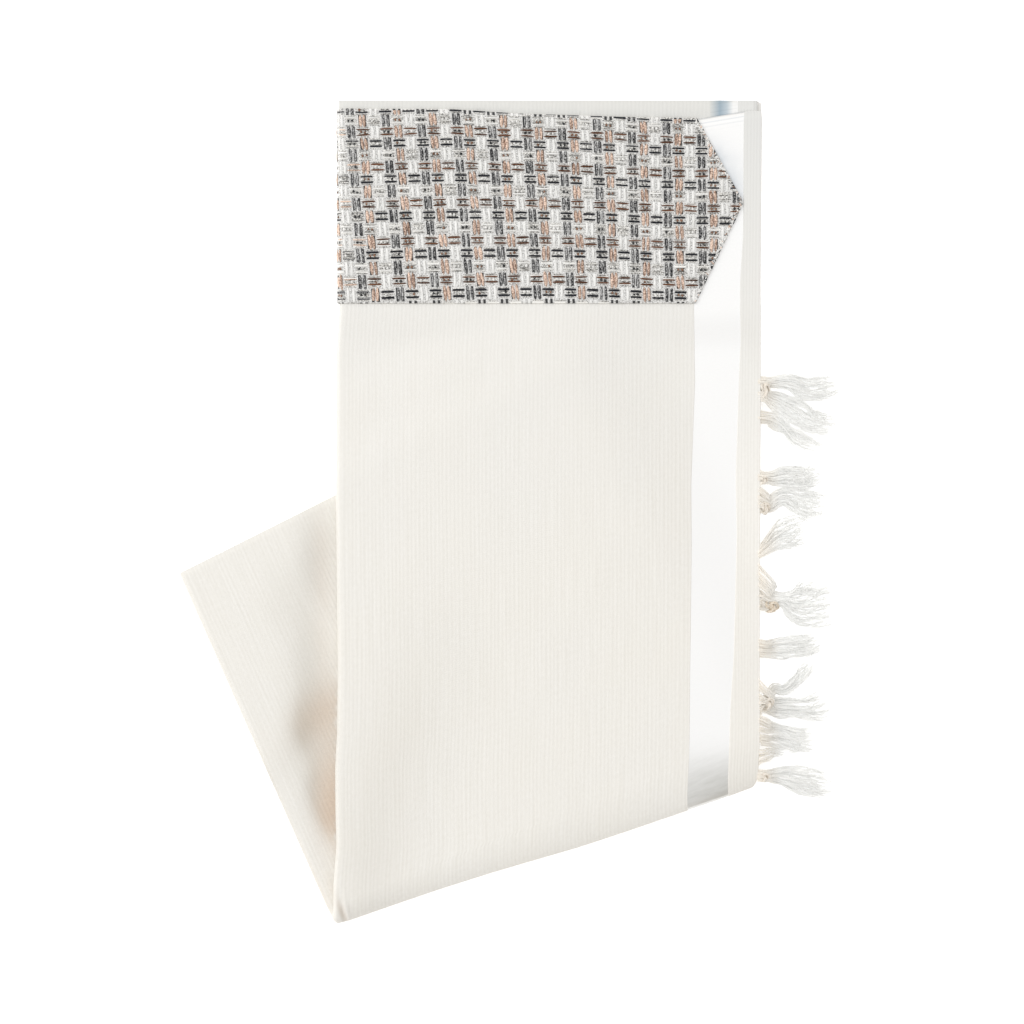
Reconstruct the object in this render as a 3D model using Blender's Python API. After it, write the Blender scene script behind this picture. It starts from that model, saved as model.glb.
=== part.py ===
# A tallit (prayer shawl) folded in eighths across its length into one long strip,
# then folded once on a slant, so that the strip's lower end lies under its upper run.
# Units are metres, +Z is up and +Y runs along the upper run, away from the slanted fold.
# The origin is the centre of the underside.

import math

import bmesh
import bpy
from mathutils import Vector

MM = 0.001

# The strip: eight layers, laid out as an outer wall, the hidden layers and an inner wall
STRIP_WIDTH = 225 * MM  # an eighth of the shawl's 1.80 m
RUN = 7.2 * MM  # thickness of one run of the folded strip
WALL = 1.4 * MM  # one layer of ribbed cloth
GAP = 0.3 * MM  # between pieces that touch
RUN_GAP = 0.6 * MM  # between the upper and the lower run
EDGE_ROUND = 3.2 * MM  # how far the folded left edge bulges

# The plan of the folded shawl
TOP_Y = 218.1 * MM  # far edge of the hidden layers
COLLAR_END_Y = 107 * MM  # just below the collar band
FOLD_LEFT = Vector((-94.5, -219.0)) * MM  # slanted fold, left end
FOLD_RIGHT = Vector((130.1, -143.9)) * MM  # slanted fold, right end
BACK_LEFT = Vector((-176.8, -32.9)) * MM  # corners of the lower run's far end
BACK_RIGHT = Vector((24.4, 67.9)) * MM
ROLL_LEFT = 11 * MM  # depth in plan of the soft roll at the slanted fold
ROLL_RIGHT = 30 * MM

# The slanted fold bows outwards a little: distance across the strip, how far
FOLD_BOW = (
    (0, 0.0),
    (55, -0.4),
    (85, 0.0),
    (105, 0.9),
    (130, 1.6),
    (155, 1.4),
    (180, 0.9),
    (205, 0.2),
    (225, 0.0),
)

# The upper run comes down to the floor beyond the lower run
RAMP = 40 * MM
RAMP_START = 2 * MM
COLLAR_RAMP = 22 * MM  # and from the collar band's underside

# The long edges of the upper run: y, left x, right x
LONG_EDGES = (
    (218.1, -91.8, 132.3),
    (107.0, -91.8, 131.3),
    (85.0, -93.4, 131.0),
    (0.0, -93.2, 130.5),
    (-85.0, -92.3, 130.1),
    (-118.0, -92.7, 130.1),
    (-136.0, -93.7, 130.1),
    (-160.0, -93.5, 130.1),
    (-176.0, -93.0, 130.1),
    (-188.0, -93.9, 130.1),
    (-198.0, -94.6, 130.1),
    (-208.0, -94.5, 130.1),
)

# The outer layer's top edge under the collar band: distance across the strip, y
TOP_EDGE = ((0, 213.0), (60, 212.6), (95, 210.3), (150, 208.6), (190, 207.9), (215, 212.0), (225, 212.4))

# The stripes at the shawl's end: y, distance across to the satin stripe, and to the end border
STRIPES = (
    (209.0, 190.8, 215.9),
    (150.0, 190.7, 216.1),
    (123.0, 190.1, 214.7),
    (107.0, 189.8, 214.8),
    (91.0, 190.6, 215.5),
    (70.0, 191.1, 214.8),
    (17.0, 189.2, 213.3),
    (-15.0, 189.4, 214.0),
    (-47.0, 189.0, 213.2),
    (-79.0, 188.6, 212.3),
    (-110.0, 188.4, 210.3),
    (-148.0, 187.9, 209.5),
)
HEM_PROUD = 0.5 * MM  # the end border is a turned hem, so it stands above the satin

# The collar band (atara)
COLLAR_WALL = 1.6 * MM
COLLAR_LENGTH = 190.6 * MM  # from the folded edge to the start of the point
COLLAR_POINT = 25.1 * MM  # how far the point reaches past that
COLLAR_BOTTOM_Y = 110.9 * MM
COLLAR_OVERHANG = 0.6 * MM  # past the outer layer's top edge
COLLAR_ROWS = (0.0, 0.23, 0.457, 0.73, 1.0)  # shares of its height; the tip is the third
TIP_ROW = 2

# The hidden layers' edges: share of their depth, how far the level is set in at the sides and the ends
LAYERS = (
    (0.0, 0.35, 0.5),
    (0.1, 0.05, 0.0),
    (0.25, 0.5, 0.7),
    (0.38, 0.1, 1.2),
    (0.5, 0.55, 1.9),
    (0.63, 0.0, 0.6),
    (0.75, 0.5, 1.0),
    (0.88, 0.15, 0.4),
    (1.0, 0.6, 0.9),
)

# Hollows in the lower run beside the upper run's folded edge, where the hidden layers are pressed
# together. Millimetres: centre x and y, half width and half length along the run, depth
HOLLOWS = (
    (-99.0, -28.0, 12.0, 27.0, 1.3),
    (-99.0, -113.0, 13.0, 16.0, 2.4),
    (-94.0, -155.0, 9.0, 19.0, 2.2),
    (-96.0, -100.0, 12.0, 66.0, 1.2),
)
DEEPEST = 2.8 * MM

# Mesh steps
COLLAR_STEPS = 4
FRONT_STEPS = 11
ROLL_STEPS = 8
BACK_STEPS = 14
FIELD_STEPS = 9
SATIN_STEPS = 2
EDGE_STEPS = 6

# Tassels along the end border, as locks of strands: the tassel's number, the lock's strands, the
# heights in millimetres at which they settle, then the lock's middle line from the hem as x, y and
# half width in millimetres. The third place is its neck, where the strands part. A tassel's second
# lock branches off the first one's head
LOCKS = (
    (1, 16, 3.3, 1.7, (
        (130.6, 69.5, 2.1), (135.9, 69.0, 2.2), (140.1, 69.3, 2.4), (147.5, 68.7, 3.7),
        (155.0, 66.1, 5.0), (163.5, 65.8, 5.2), (174.0, 67.4, 2.4))),
    (2, 18, 3.3, 1.7, (
        (130.6, 61.6, 2.1), (135.3, 61.4, 2.4), (138.6, 60.2, 2.8), (144.4, 56.8, 5.2),
        (152.8, 52.3, 5.8), (162.4, 47.8, 5.0), (175.6, 45.6, 1.9))),
    (3, 9, 3.3, 1.7, (
        (130.6, 50.4, 2.9), (135.9, 49.9, 2.4), (140.1, 48.3, 2.2), (148.1, 41.4, 2.4),
        (158.1, 35.6, 2.7), (164.6, 33.4, 1.4))),
    (3, 4, 5.2, 4.6, (
        (133.4, 49.0, 1.1), (137.6, 45.6, 1.0), (141.2, 43.9, 0.9), (148.6, 43.2, 1.3),
        (157.1, 40.6, 1.1), (166.4, 38.2, 0.6))),
    (4, 16, 3.3, 1.7, (
        (130.6, 18.0, 3.9), (134.8, 18.0, 2.4), (139.6, 18.0, 2.8), (147.0, 18.8, 4.8),
        (155.0, 18.3, 4.8), (164.6, 21.2, 2.8))),
    (5, 20, 3.3, 1.7, (
        (130.6, 6.4, 6.2), (134.7, 4.4, 3.4), (138.6, 4.6, 3.2), (144.9, 8.0, 4.2),
        (151.2, 6.1, 5.9), (160.0, 4.0, 7.0), (168.4, 3.7, 5.4))),
    (6, 16, 3.3, 1.7, (
        (130.6, -22.3, 2.2), (135.3, -18.8, 2.4), (138.0, -16.6, 2.8), (144.4, -12.5, 5.8),
        (151.0, -10.2, 6.4), (158.1, -9.6, 4.4))),
    (7, 26, 3.3, 1.7, (
        (130.6, -42.5, 13.6), (134.7, -45.2, 6.6), (140.6, -46.7, 3.1), (146.5, -47.6, 5.4),
        (152.8, -48.8, 9.2), (161.9, -48.3, 9.2), (172.4, -45.6, 5.3))),
    (8, 16, 3.3, 1.7, (
        (130.6, -72.2, 4.2), (134.6, -72.8, 3.2), (138.2, -72.8, 3.2), (145.4, -72.2, 4.6),
        (156.0, -71.1, 4.8), (163.8, -68.4, 2.2))),
    (9, 17, 3.3, 1.7, (
        (130.6, -101.4, 8.4), (134.3, -102.0, 4.6), (138.0, -103.0, 3.4), (147.5, -104.0, 4.6),
        (158.7, -104.5, 3.9), (168.4, -101.4, 1.9))),
    (9, 9, 3.3, 1.7, (
        (134.0, -99.6, 2.0), (137.4, -96.0, 1.9), (140.6, -94.2, 2.0), (147.5, -92.9, 2.4),
        (154.4, -85.6, 3.0), (160.6, -79.4, 1.3))),
    (10, 16, 3.3, 1.7, (
        (130.6, -114.6, 6.0), (135.9, -116.2, 3.8), (140.2, -116.8, 3.0), (145.9, -118.0, 3.9),
        (151.2, -119.6, 4.4), (159.6, -120.4, 2.6))),
    (10, 5, 3.3, 1.7, (
        (134.4, -117.6, 1.2), (138.0, -121.4, 1.1), (141.4, -123.0, 1.1), (146.5, -124.2, 1.0),
        (151.0, -125.4, 0.8))),
    (11, 7, 3.3, 1.7, (
        (130.6, -130.2, 3.6), (133.6, -129.7, 2.4), (136.4, -129.3, 1.7), (140.1, -128.8, 1.5),
        (144.6, -128.6, 0.8))),
    (12, 18, 3.3, 1.7, (
        (130.0, -139.6, 2.5), (133.7, -140.1, 2.5), (137.6, -140.2, 2.4), (145.4, -140.9, 4.6),
        (156.6, -143.3, 6.0), (170.2, -145.4, 3.6))),
)
NECK = 2
ROOT_HALF_HEIGHT = 0.6 * MM
HEAD_HALF_HEIGHT = 1.9 * MM  # at most
HEAD_CLEARANCE = 0.7 * MM  # above the floor
STRAND_INSET = 0.62  # a strand's size as a share of its sector on the tassel's neck
STRAND_SWELL = 0.12  # its middle is this much thicker
STRAND_TAPER = 0.45  # and its tip this much thinner
STRAND_REACH = 0.93  # the outermost strand's middle as a share of the lock's half width


def remove_everything():
    for thing in list(bpy.data.objects):
        bpy.data.objects.remove(thing, do_unlink=True)


def mix(start, end, share):
    return start + (end - start) * share


def smooth(share):
    share = min(max(share, 0.0), 1.0)
    return share * share * (3 - 2 * share)


def read_table(table, column, key):
    """The column's value where the first column holds key, in straight lines between rows, in metres."""
    rows = sorted(table)
    key = min(max(key / MM, rows[0][0]), rows[-1][0])
    for low, high in zip(rows, rows[1:]):
        if key <= high[0]:
            share = (key - low[0]) / (high[0] - low[0])
            return mix(low[column], high[column], share) * MM
    return rows[-1][column] * MM


def lift(x, y):
    """How high the upper run's underside lies: on the lower run, on the collar band or on the floor."""
    spot = Vector((x, y))
    side = (FOLD_RIGHT - BACK_RIGHT).normalized()
    end = (BACK_RIGHT - BACK_LEFT).normalized()
    past_side = max(0.0, Vector((-side.y, side.x)).dot(spot - FOLD_RIGHT) - RAMP_START)
    past_end = max(0.0, Vector((-end.y, end.x)).dot(spot - BACK_LEFT) - RAMP_START)
    on_lower_run = (RUN + RUN_GAP) * (1 - smooth(math.hypot(past_side, past_end) / RAMP))
    below_collar = (COLLAR_END_Y - y) / COLLAR_RAMP
    on_collar = (COLLAR_WALL + GAP) * (1 - smooth(below_collar))
    return math.hypot(on_lower_run, on_collar)


def settle(spot):
    """How far the lower run's upper face sinks at a point of the plan."""
    down_way = (FOLD_LEFT - BACK_LEFT).normalized()
    out_way = Vector((-down_way.y, down_way.x))
    sunk = 0.0
    for x, y, half_width, half_length, depth in HOLLOWS:
        offset = spot - Vector((x, y)) * MM
        down = offset.dot(down_way) / (half_length * MM)
        out = offset.dot(out_way) / (half_width * MM)
        sunk += depth * MM * math.exp(-down * down - out * out)
    return DEEPEST * (1 - math.exp(-sunk / DEEPEST))


def place(across, along, depth):
    """A point of the folded strip. Across runs from the left edge. Along is 0 to 1 under the collar
    band, 1 to 2 down the upper run, 2 to 3 round the roll and 3 to 4 up the lower run. Depth starts
    at the outer face, which is the upper run's top and the lower run's underside."""
    share = across / STRIP_WIDTH
    edge = FOLD_LEFT.lerp(FOLD_RIGHT, share) - Vector((0, read_table(FOLD_BOW, 1, across)))
    radius = mix(ROLL_LEFT, ROLL_RIGHT, share)
    far_end = BACK_LEFT.lerp(BACK_RIGHT, share)
    up = Vector((0, 1))
    back = (far_end - edge).normalized()
    half = RUN + RUN_GAP / 2
    if along <= 2:
        y = mix(TOP_Y, COLLAR_END_Y, along)
        if along > 1:
            y = mix(COLLAR_END_Y, edge.y + radius, along - 1)
        x = mix(read_table(LONG_EDGES, 1, y), read_table(LONG_EDGES, 2, y), share)
        return Vector((x, y, lift(x, y) + RUN - depth))
    if along <= 3:
        angle = (2.5 - along) * math.pi
        reach = radius - (radius - depth) * math.cos(angle)
        spot = edge + up.lerp(back, smooth(along - 2)).normalized() * reach
        drop = RUN + RUN_GAP - lift(spot.x, spot.y)
        z = half + (half - depth) * math.sin(angle) - drop * max(0.0, math.sin(angle)) ** 2
        return Vector((spot.x, spot.y, z))
    spot = (edge + back * radius).lerp(far_end, along - 3)
    inside = (depth - WALL - GAP) / (RUN - 2 * (WALL + GAP))
    return Vector((spot.x, spot.y, depth - settle(spot) * min(max(inside, 0.0), 1.0)))


def rows_along():
    rows = [k / COLLAR_STEPS for k in range(COLLAR_STEPS)]
    rows += [1 + k / FRONT_STEPS for k in range(FRONT_STEPS)]
    rows += [2 + k / ROLL_STEPS for k in range(ROLL_STEPS)]
    return rows + [3 + k / BACK_STEPS for k in range(BACK_STEPS + 1)]


ROWS = rows_along()


def stripe_edges(along):
    """Distances across the strip to the satin stripe and to the end border, at a row."""
    y = place(STRIP_WIDTH * 0.9, min(along, 2), 0).y
    return read_table(STRIPES, 1, y), read_table(STRIPES, 2, y)


def columns(along):
    """The distances across the strip that every layer shares, so that stacked faces stay parallel."""
    satin, border = stripe_edges(along)
    field = [mix(EDGE_ROUND, satin, k / FIELD_STEPS) for k in range(FIELD_STEPS)]
    stripe = [mix(satin, border, k / SATIN_STEPS) for k in range(SATIN_STEPS)]
    return field + stripe + [border, STRIP_WIDTH]


def along_at(y):
    """Where a height in the plan falls on the collar stretch of the strip."""
    return (TOP_Y - y) / (TOP_Y - COLLAR_END_Y)


def wrap(outer, inner, depth):
    """A cross-section at one depth: in over the outer face, round the left fold, out over the inner."""
    points = [(across, depth) for across in reversed(outer)]
    for k in range(1, EDGE_STEPS):
        angle = math.pi * k / EDGE_STEPS
        across = EDGE_ROUND - (EDGE_ROUND - depth) * math.sin(angle)
        points.append((across, RUN / 2 - (RUN / 2 - depth) * math.cos(angle)))
    return points + [(across, RUN - depth) for across in inner]


def rim(grid):
    """The grid's outline, once round."""
    first, last = grid[0], grid[-1]
    right = [row[-1] for row in grid[1:-1]]
    left = [row[0] for row in grid[1:-1]]
    return first + right + last[::-1] + left[::-1]


def material(name, colour, roughness):
    finish = bpy.data.materials.new(name)
    finish.use_nodes = True
    shader = finish.node_tree.nodes["Principled BSDF"]
    shader.inputs["Base Color"].default_value = (*colour, 1)
    shader.inputs["Roughness"].default_value = roughness
    shader.inputs["Metallic"].default_value = 0
    return finish


def finish_object(bm, name, finish):
    bmesh.ops.recalc_face_normals(bm, faces=bm.faces)
    mesh = bpy.data.meshes.new(name)
    bm.to_mesh(mesh)
    bm.free()
    mesh.materials.append(finish)
    mesh.shade_smooth()
    mesh.set_sharp_from_angle(angle=math.radians(50))
    thing = bpy.data.objects.new(name, mesh)
    bpy.context.scene.collection.objects.link(thing)
    return thing


def slab(name, finish, top, bottom, levels=(), turned=0):
    """A closed wall between two grids of points, with outlines between them as its edge. The quads
    of its first columns, as many as turned, run right to left and are split the other way, so that
    they stay parallel to the layers beneath."""
    bm = bmesh.new()
    faces = []
    for grid in (top, bottom):
        faces.append([[bm.verts.new(point) for point in row] for row in grid])
    for grid in faces:
        for row, following in zip(grid, grid[1:]):
            for k in range(len(row) - 1):
                if k < turned:
                    bm.faces.new((row[k], row[k + 1], following[k]))
                    bm.faces.new((row[k + 1], following[k + 1], following[k]))
                else:
                    bm.faces.new((row[k], row[k + 1], following[k + 1]))
                    bm.faces.new((row[k], following[k + 1], following[k]))
    loops = [rim(faces[0])]
    loops += [[bm.verts.new(point) for point in level] for level in levels]
    loops.append(rim(faces[1]))
    for upper, lower in zip(loops, loops[1:]):
        for k in range(len(upper)):
            beside = (k + 1) % len(upper)
            bm.faces.new((upper[k], upper[beside], lower[beside]))
            bm.faces.new((upper[k], lower[beside], lower[k]))
    return finish_object(bm, name, finish)


def start_along(across, row):
    """The first row follows the outer layer's top edge."""
    if row > 0:
        return ROWS[row]
    return along_at(read_table(TOP_EDGE, 1, across))


def build_body_cloth(finish):
    """The outermost layer of ribbed cloth, folded round the strip's left edge."""
    grids = []
    for depth in (0.0, WALL):
        grid = []
        for row, along in enumerate(ROWS):
            shared = columns(along)
            outer = shared[: FIELD_STEPS + 1]
            outer[-1] -= GAP / 2
            section = wrap(outer, shared, depth)
            inner_from = len(outer) + EDGE_STEPS - 1
            points = []
            for k, (across, deep) in enumerate(section):
                here = start_along(across, row) if k < inner_from else max(along, ROWS[1] * 0.1)
                points.append(place(across, here, deep))
            grid.append(points)
        grids.append(grid)
    return slab("body_cloth", finish, grids[0], grids[1], turned=FIELD_STEPS + EDGE_STEPS // 2)


def build_stripe(name, finish, first, last, trim, proud):
    """A stripe along the strip, between two of the shared columns."""
    grids = []
    for depth in (-proud, WALL):
        grid = []
        for row, along in enumerate(ROWS):
            shared = columns(along)[first:last]
            shared[0] += GAP / 2
            shared[-1] -= trim
            fade = 1 - smooth((along - 2) * 2)
            deep = depth * fade if depth < 0 else depth
            grid.append([place(across, start_along(across, row), deep) for across in shared])
        grids.append(grid)
    return slab(name, finish, grids[0], grids[1])


def build_hidden_layers(finish):
    """The layers inside the fold, as one solid with rounded, layered edges."""
    shallow = WALL + GAP
    deep = RUN - WALL - GAP
    grids = []
    for share, side, end in LAYERS:
        depth = mix(shallow, deep, share)
        bulge = math.sqrt(max(0.0, 1 - (2 * share - 1) ** 2)) * (EDGE_ROUND - shallow)
        grid = []
        for along in ROWS:
            shared = columns(along)
            shared[0] += side * MM - bulge
            shared[-1] -= side * MM
            here = max(along, along_at(TOP_Y - end * MM))
            here = min(here, 4 - end * MM / (BACK_LEFT - FOLD_LEFT).length)
            grid.append([place(across, here, depth) for across in shared])
        grids.append(grid)
    levels = [rim(grid) for grid in grids[1:-1]]
    return slab("hidden_layers", finish, grids[0], grids[-1], levels)


def build_collar(finish):
    """The collar band, from the cloth's own surface moved out, wrapped round the left edge."""
    grids = []
    for depth in (-GAP - COLLAR_WALL, -GAP):
        grid = []
        for share in COLLAR_ROWS:
            tip = COLLAR_ROWS[TIP_ROW]
            slope = share / tip if share < tip else (1 - share) / (1 - tip)
            length = COLLAR_LENGTH + COLLAR_POINT * slope
            band = [mix(EDGE_ROUND, length, k / FIELD_STEPS) for k in range(FIELD_STEPS + 1)]
            points = []
            for across, deep in wrap(band, band, depth):
                top = read_table(TOP_EDGE, 1, min(across, COLLAR_LENGTH)) + COLLAR_OVERHANG
                points.append(place(across, along_at(mix(top, COLLAR_BOTTOM_Y, share)), deep))
            grid.append(points)
        grids.append(grid)
    return slab("atara", finish, grids[0], grids[1], turned=FIELD_STEPS + EDGE_STEPS // 2)


def border_edge(y):
    """The middle of the end border's edge at a height in the plan, on the upper run or its roll."""
    low, high = 0.0, 2.5
    for _ in range(30):
        middle = (low + high) / 2
        if place(STRIP_WIDTH, middle, WALL / 2).y > y:
            low = middle
        else:
            high = middle
    return place(STRIP_WIDTH, low, WALL / 2)


def head_height(row, x):
    """The height of a lock's middle line at a distance from the shawl, within its head."""
    high, low, stations = row[2:]
    root_z = border_edge(stations[0][1] * MM).z
    rest = mix(high, low, 0.5) * MM
    rest = max(rest, min(stations[NECK][2] * MM, HEAD_HALF_HEIGHT) + HEAD_CLEARANCE)
    start, end = stations[0][0], stations[NECK][0]
    return mix(root_z, rest, smooth((x - start) / (end - start)))


def build_lock(bm, row, host):
    """One lock: a head gathered from the hem or from its host, then strands fanned out from its neck."""
    count, high, low, stations = row[1:]
    spots = [Vector((x * MM, y * MM, 0)) for x, y, _ in stations]
    if row is host:
        spots[0].x = border_edge(stations[0][1] * MM).x + GAP
    halves = [half * MM for _, _, half in stations]
    ring, previous = [], None
    for index in range(NECK + 1):
        centre = spots[index].copy()
        centre.z = head_height(host if index == 0 else row, stations[index][0])
        run = (spots[index + 1] - spots[max(index - 1, 0)]).normalized()
        facing = Vector((1, 0, 0)).lerp(run, index / NECK).normalized()
        across = Vector((-facing.y, facing.x, 0))
        height = ROOT_HALF_HEIGHT if index == 0 else min(halves[index], HEAD_HALF_HEIGHT)
        ring = []
        for k in range(count):
            angle = 2 * math.pi * (k + 0.25) / count
            offset = across * halves[index] * math.cos(angle) + Vector((0, 0, height * math.sin(angle)))
            ring.append(bm.verts.new(centre + offset))
        if previous is None:
            bm.faces.new(ring)
        else:
            for k in range(count):
                beside = (k + 1) % count
                bm.faces.new((previous[k], previous[beside], ring[beside], ring[k]))
        previous = ring
    grow_strands(bm, ring, centre, spots[NECK:], halves[NECK:], (high * MM, low * MM))


def grow_strands(bm, ring, neck, spots, halves, heights):
    """A strand from each sector of the neck, along its own share of the lock's width."""
    count = len(ring)
    flat = (spots[1] - spots[0]).normalized()
    side = Vector((-flat.y, flat.x, 0))
    middle = bm.verts.new(neck)
    sectors = [(ring[k], ring[(k + 1) % count], middle) for k in range(count)]
    centres = [sum((v.co for v in sector), Vector()) / len(sector) for sector in sectors]
    order = sorted(range(count), key=lambda k: centres[k].dot(side))
    for rank, k in enumerate(order):
        centre = centres[k]
        shape = [(v.co - centre) * STRAND_INSET for v in sectors[k]]
        share = (2 * rank / (count - 1) - 1) * STRAND_REACH
        height = heights[0] if centre.z > neck.z else heights[1]
        shorten = 0.12 * (0.5 + 0.5 * math.sin(2.3 * rank + count))
        previous = list(sectors[k])
        last = len(spots) - 1
        for step in range(last + 1):
            way = step / last
            following = spots[min(step + 1, last)] - spots[max(step - 1, 0)]
            across = Vector((-following.y, following.x, 0)).normalized()
            at = spots[step] + across * halves[step] * share
            if step == last:
                at += (spots[last - 1] - spots[last]) * shorten
            at.z = mix(centre.z, height, smooth(way * 1.5))
            if step == 0:
                at = centre
            size = 1 + STRAND_SWELL * math.sin(math.pi * way) - STRAND_TAPER * way
            loop = [bm.verts.new(at + corner * size) for corner in shape]
            for a in range(3):
                b = (a + 1) % 3
                bm.faces.new((previous[a], previous[b], loop[b], loop[a]))
            previous = loop
        bm.faces.new(previous)


def build_tassel(number, finish):
    """A tassel: its first lock, joined with any lock that branches off it."""
    rows = [row for row in LOCKS if row[0] == number]
    tassel = None
    for row in rows:
        bm = bmesh.new()
        build_lock(bm, row, rows[0])
        bmesh.ops.triangulate(bm, faces=bm.faces)
        lock = finish_object(bm, f"tassel_{number:02d}", finish)
        if tassel is None:
            tassel = lock
            continue
        join = tassel.modifiers.new("join", "BOOLEAN")
        join.operation = "UNION"
        join.solver = "EXACT"
        join.object = lock
        bpy.context.view_layer.objects.active = tassel
        bpy.ops.object.modifier_apply(modifier=join.name)
        bpy.data.objects.remove(lock, do_unlink=True)


def main():
    remove_everything()
    ribbed = material("ribbed_cloth", (0.84, 0.82, 0.76), 0.85)
    satin = material("satin", (0.92, 0.92, 0.91), 0.35)
    hem = material("border_cloth", (0.86, 0.85, 0.80), 0.8)
    tweed = material("tweed", (0.42, 0.34, 0.30), 0.9)
    thread = material("fringe_thread", (0.93, 0.92, 0.88), 0.75)
    build_body_cloth(ribbed)
    build_hidden_layers(ribbed)
    satin_first = FIELD_STEPS
    border_first = FIELD_STEPS + SATIN_STEPS
    build_stripe("satin_stripe", satin, satin_first, border_first + 1, GAP / 2, 0.0)
    build_stripe("end_border", hem, border_first, border_first + 2, 0.0, HEM_PROUD)
    build_collar(tweed)
    for number in sorted({row[0] for row in LOCKS}):
        build_tassel(number, thread)


main()
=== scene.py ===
import math
import random

import bmesh
import bpy
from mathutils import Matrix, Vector, noise


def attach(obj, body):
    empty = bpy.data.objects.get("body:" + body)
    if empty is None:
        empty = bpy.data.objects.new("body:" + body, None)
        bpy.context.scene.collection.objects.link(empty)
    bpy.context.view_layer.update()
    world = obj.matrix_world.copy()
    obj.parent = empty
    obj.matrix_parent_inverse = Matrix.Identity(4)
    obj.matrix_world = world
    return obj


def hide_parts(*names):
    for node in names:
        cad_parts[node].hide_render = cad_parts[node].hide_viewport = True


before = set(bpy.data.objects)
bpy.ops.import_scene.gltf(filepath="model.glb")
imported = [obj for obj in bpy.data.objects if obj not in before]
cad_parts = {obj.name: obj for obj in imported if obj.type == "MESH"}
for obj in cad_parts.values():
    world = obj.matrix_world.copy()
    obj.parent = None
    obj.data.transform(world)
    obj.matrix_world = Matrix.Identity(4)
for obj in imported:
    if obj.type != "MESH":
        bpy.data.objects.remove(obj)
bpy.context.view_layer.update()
bpy.ops.object.select_all(action="DESELECT")
print("frame loaded:", len(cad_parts), "nodes")

mm = 0.001
scene = bpy.context.scene
scene.view_settings.view_transform = "Standard"

# the shawl's folding
fold = {
    "stripWidth": 225 * mm,
    "run": 7.2 * mm,  # one run of eight layers
    "runGap": 0.6 * mm,
    "wall": 1.4 * mm,
    "gap": 0.3 * mm,
    "edgeRound": 3.2 * mm,
    "topY": 218.1 * mm,
    "collarEndY": 107 * mm,
    "foldLeft": Vector((-94.5, -219.0)) * mm,
    "foldRight": Vector((130.1, -143.9)) * mm,
    "backLeft": Vector((-176.8, -32.9)) * mm,
    "backRight": Vector((24.4, 67.9)) * mm,
    "rollLeft": 11 * mm,
    "rollRight": 30 * mm,
    "ramp": 58 * mm,  # how far the upper run takes to climb over the lower one
    "rampStart": 2 * mm,
    "collarRamp": 22 * mm,
    "collarWall": 1.6 * mm,
    "sinkLimit": 2.8 * mm,  # the deepest that a hollow may be
    "shadeLimit": 0.7,
}
# hollows in the lower run beside the upper one, where the hidden layers are pressed together:
# centre x and y, half width and half length along the run, depth
hollows = (
    (-99, -28, 12, 27, 1.3),
    (-99, -113, 13, 16, 2.4),
    (-94, -155, 9, 19, 2.2),
    (-96, -100, 12, 66, 1.2),
)
# the soft shade that gathers in and beside them: centre x and y, half width, half length, the
# direction of the length in degrees, strength
pockets = (
    (-107, -45, 8.2, 60, 88, 0.14),
    (-113, -34, 14.3, 39, 59, 0.13),
    (-117, -126, 9.5, 24, 63, 0.32),
    (-111, -100, 18, 38, 87, 0.20),
    (-107, -144, 8.6, 22, 72, 0.22),
    (-103, -168, 6.3, 24, 103, 0.30),
)
# warm light that the upper run throws back on the lower one
warmGlow = (
    (-100, -106, 20, 13, 130, 0.21),
    (-96, -157, 10, 34, 89, 0.40),
    (-100, -45, 5.9, 60, 91, 0.10),
    (-96, -201, 2.6, 10, 105, 0.25),
    (-90, -212, 1.5, 8, 110, 0.14),
)
# soft shade on the upper run: near the slanted fold and in the corner's crease
frontShade = (
    (-66, -148, 22, 58, 80, 0.10),
    (-40, -88, 30, 50, 76, 0.045),
    (-76, -196, 14, 34, 92, 0.07),
    (-30, 72, 15, 66, 22, 0.045),
    (-84, 48, 14, 24, 60, 0.04),
    (-90.2, -212, 1.5, 8, 110, 0.2),
)
# painted shade on the stripes, its strength by the distance below the cloth's middle
borderShade = ((20, 0), (70, 0.02), (120, 0.05), (145, 0.10), (155, 0.12))
rollShade = (
    (116, 0), (122, 0.03), (127, 0.09), (132, 0.20), (137, 0.30), (143, 0.40), (150, 0.44), (158, 0.36),
)
# the slanted fold bows outwards a little: distance across the strip, how far
foldBow = (
    (0, 0), (10, 0.6), (30, 0.3), (55, 0.1), (85, 0.6), (105, 1.4),
    (130, 2.5), (155, 2.6), (180, 2.4), (205, 2.2), (225, 1.4),
)
# the upper run's long edges: y, left x, right x
longEdges = (
    (218.1, -91.8, 132.3), (107, -91.8, 131.3), (85, -93.4, 131.0), (0, -93.2, 130.5),
    (-85, -92.3, 130.1), (-118, -92.7, 130.1), (-136, -93.7, 130.1), (-160, -93.5, 130.1),
    (-176, -93.0, 130.1), (-188, -93.9, 130.1), (-198, -94.6, 130.1), (-208, -94.5, 130.1),
)
# the top edge: distance across the strip, y
topEdge = ((0, 213.0), (60, 212.6), (95, 210.3), (150, 208.6), (190, 207.9), (215, 212.0), (225, 212.4))
# y, and how far across the satin and the border start
stripes = (
    (209, 190.8, 215.9), (150, 190.7, 216.1), (123, 190.1, 214.7), (107, 189.8, 214.8),
    (91, 190.6, 215.5), (70, 191.1, 214.8), (17, 189.2, 213.3), (-15, 189.4, 214.0),
    (-47, 189.0, 213.2), (-79, 188.6, 212.3), (-110, 188.4, 210.3), (-148, 187.9, 209.5),
)


def mix(start, end, share):
    return start + (end - start) * share


def spaced(start, end, count, last=True):  # evenly spaced values, with or without the last one
    return [mix(start, end, k / count) for k in range(count + last)]


def smooth(share):
    share = min(max(share, 0.0), 1.0)
    return share * share * (3 - 2 * share)


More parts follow.
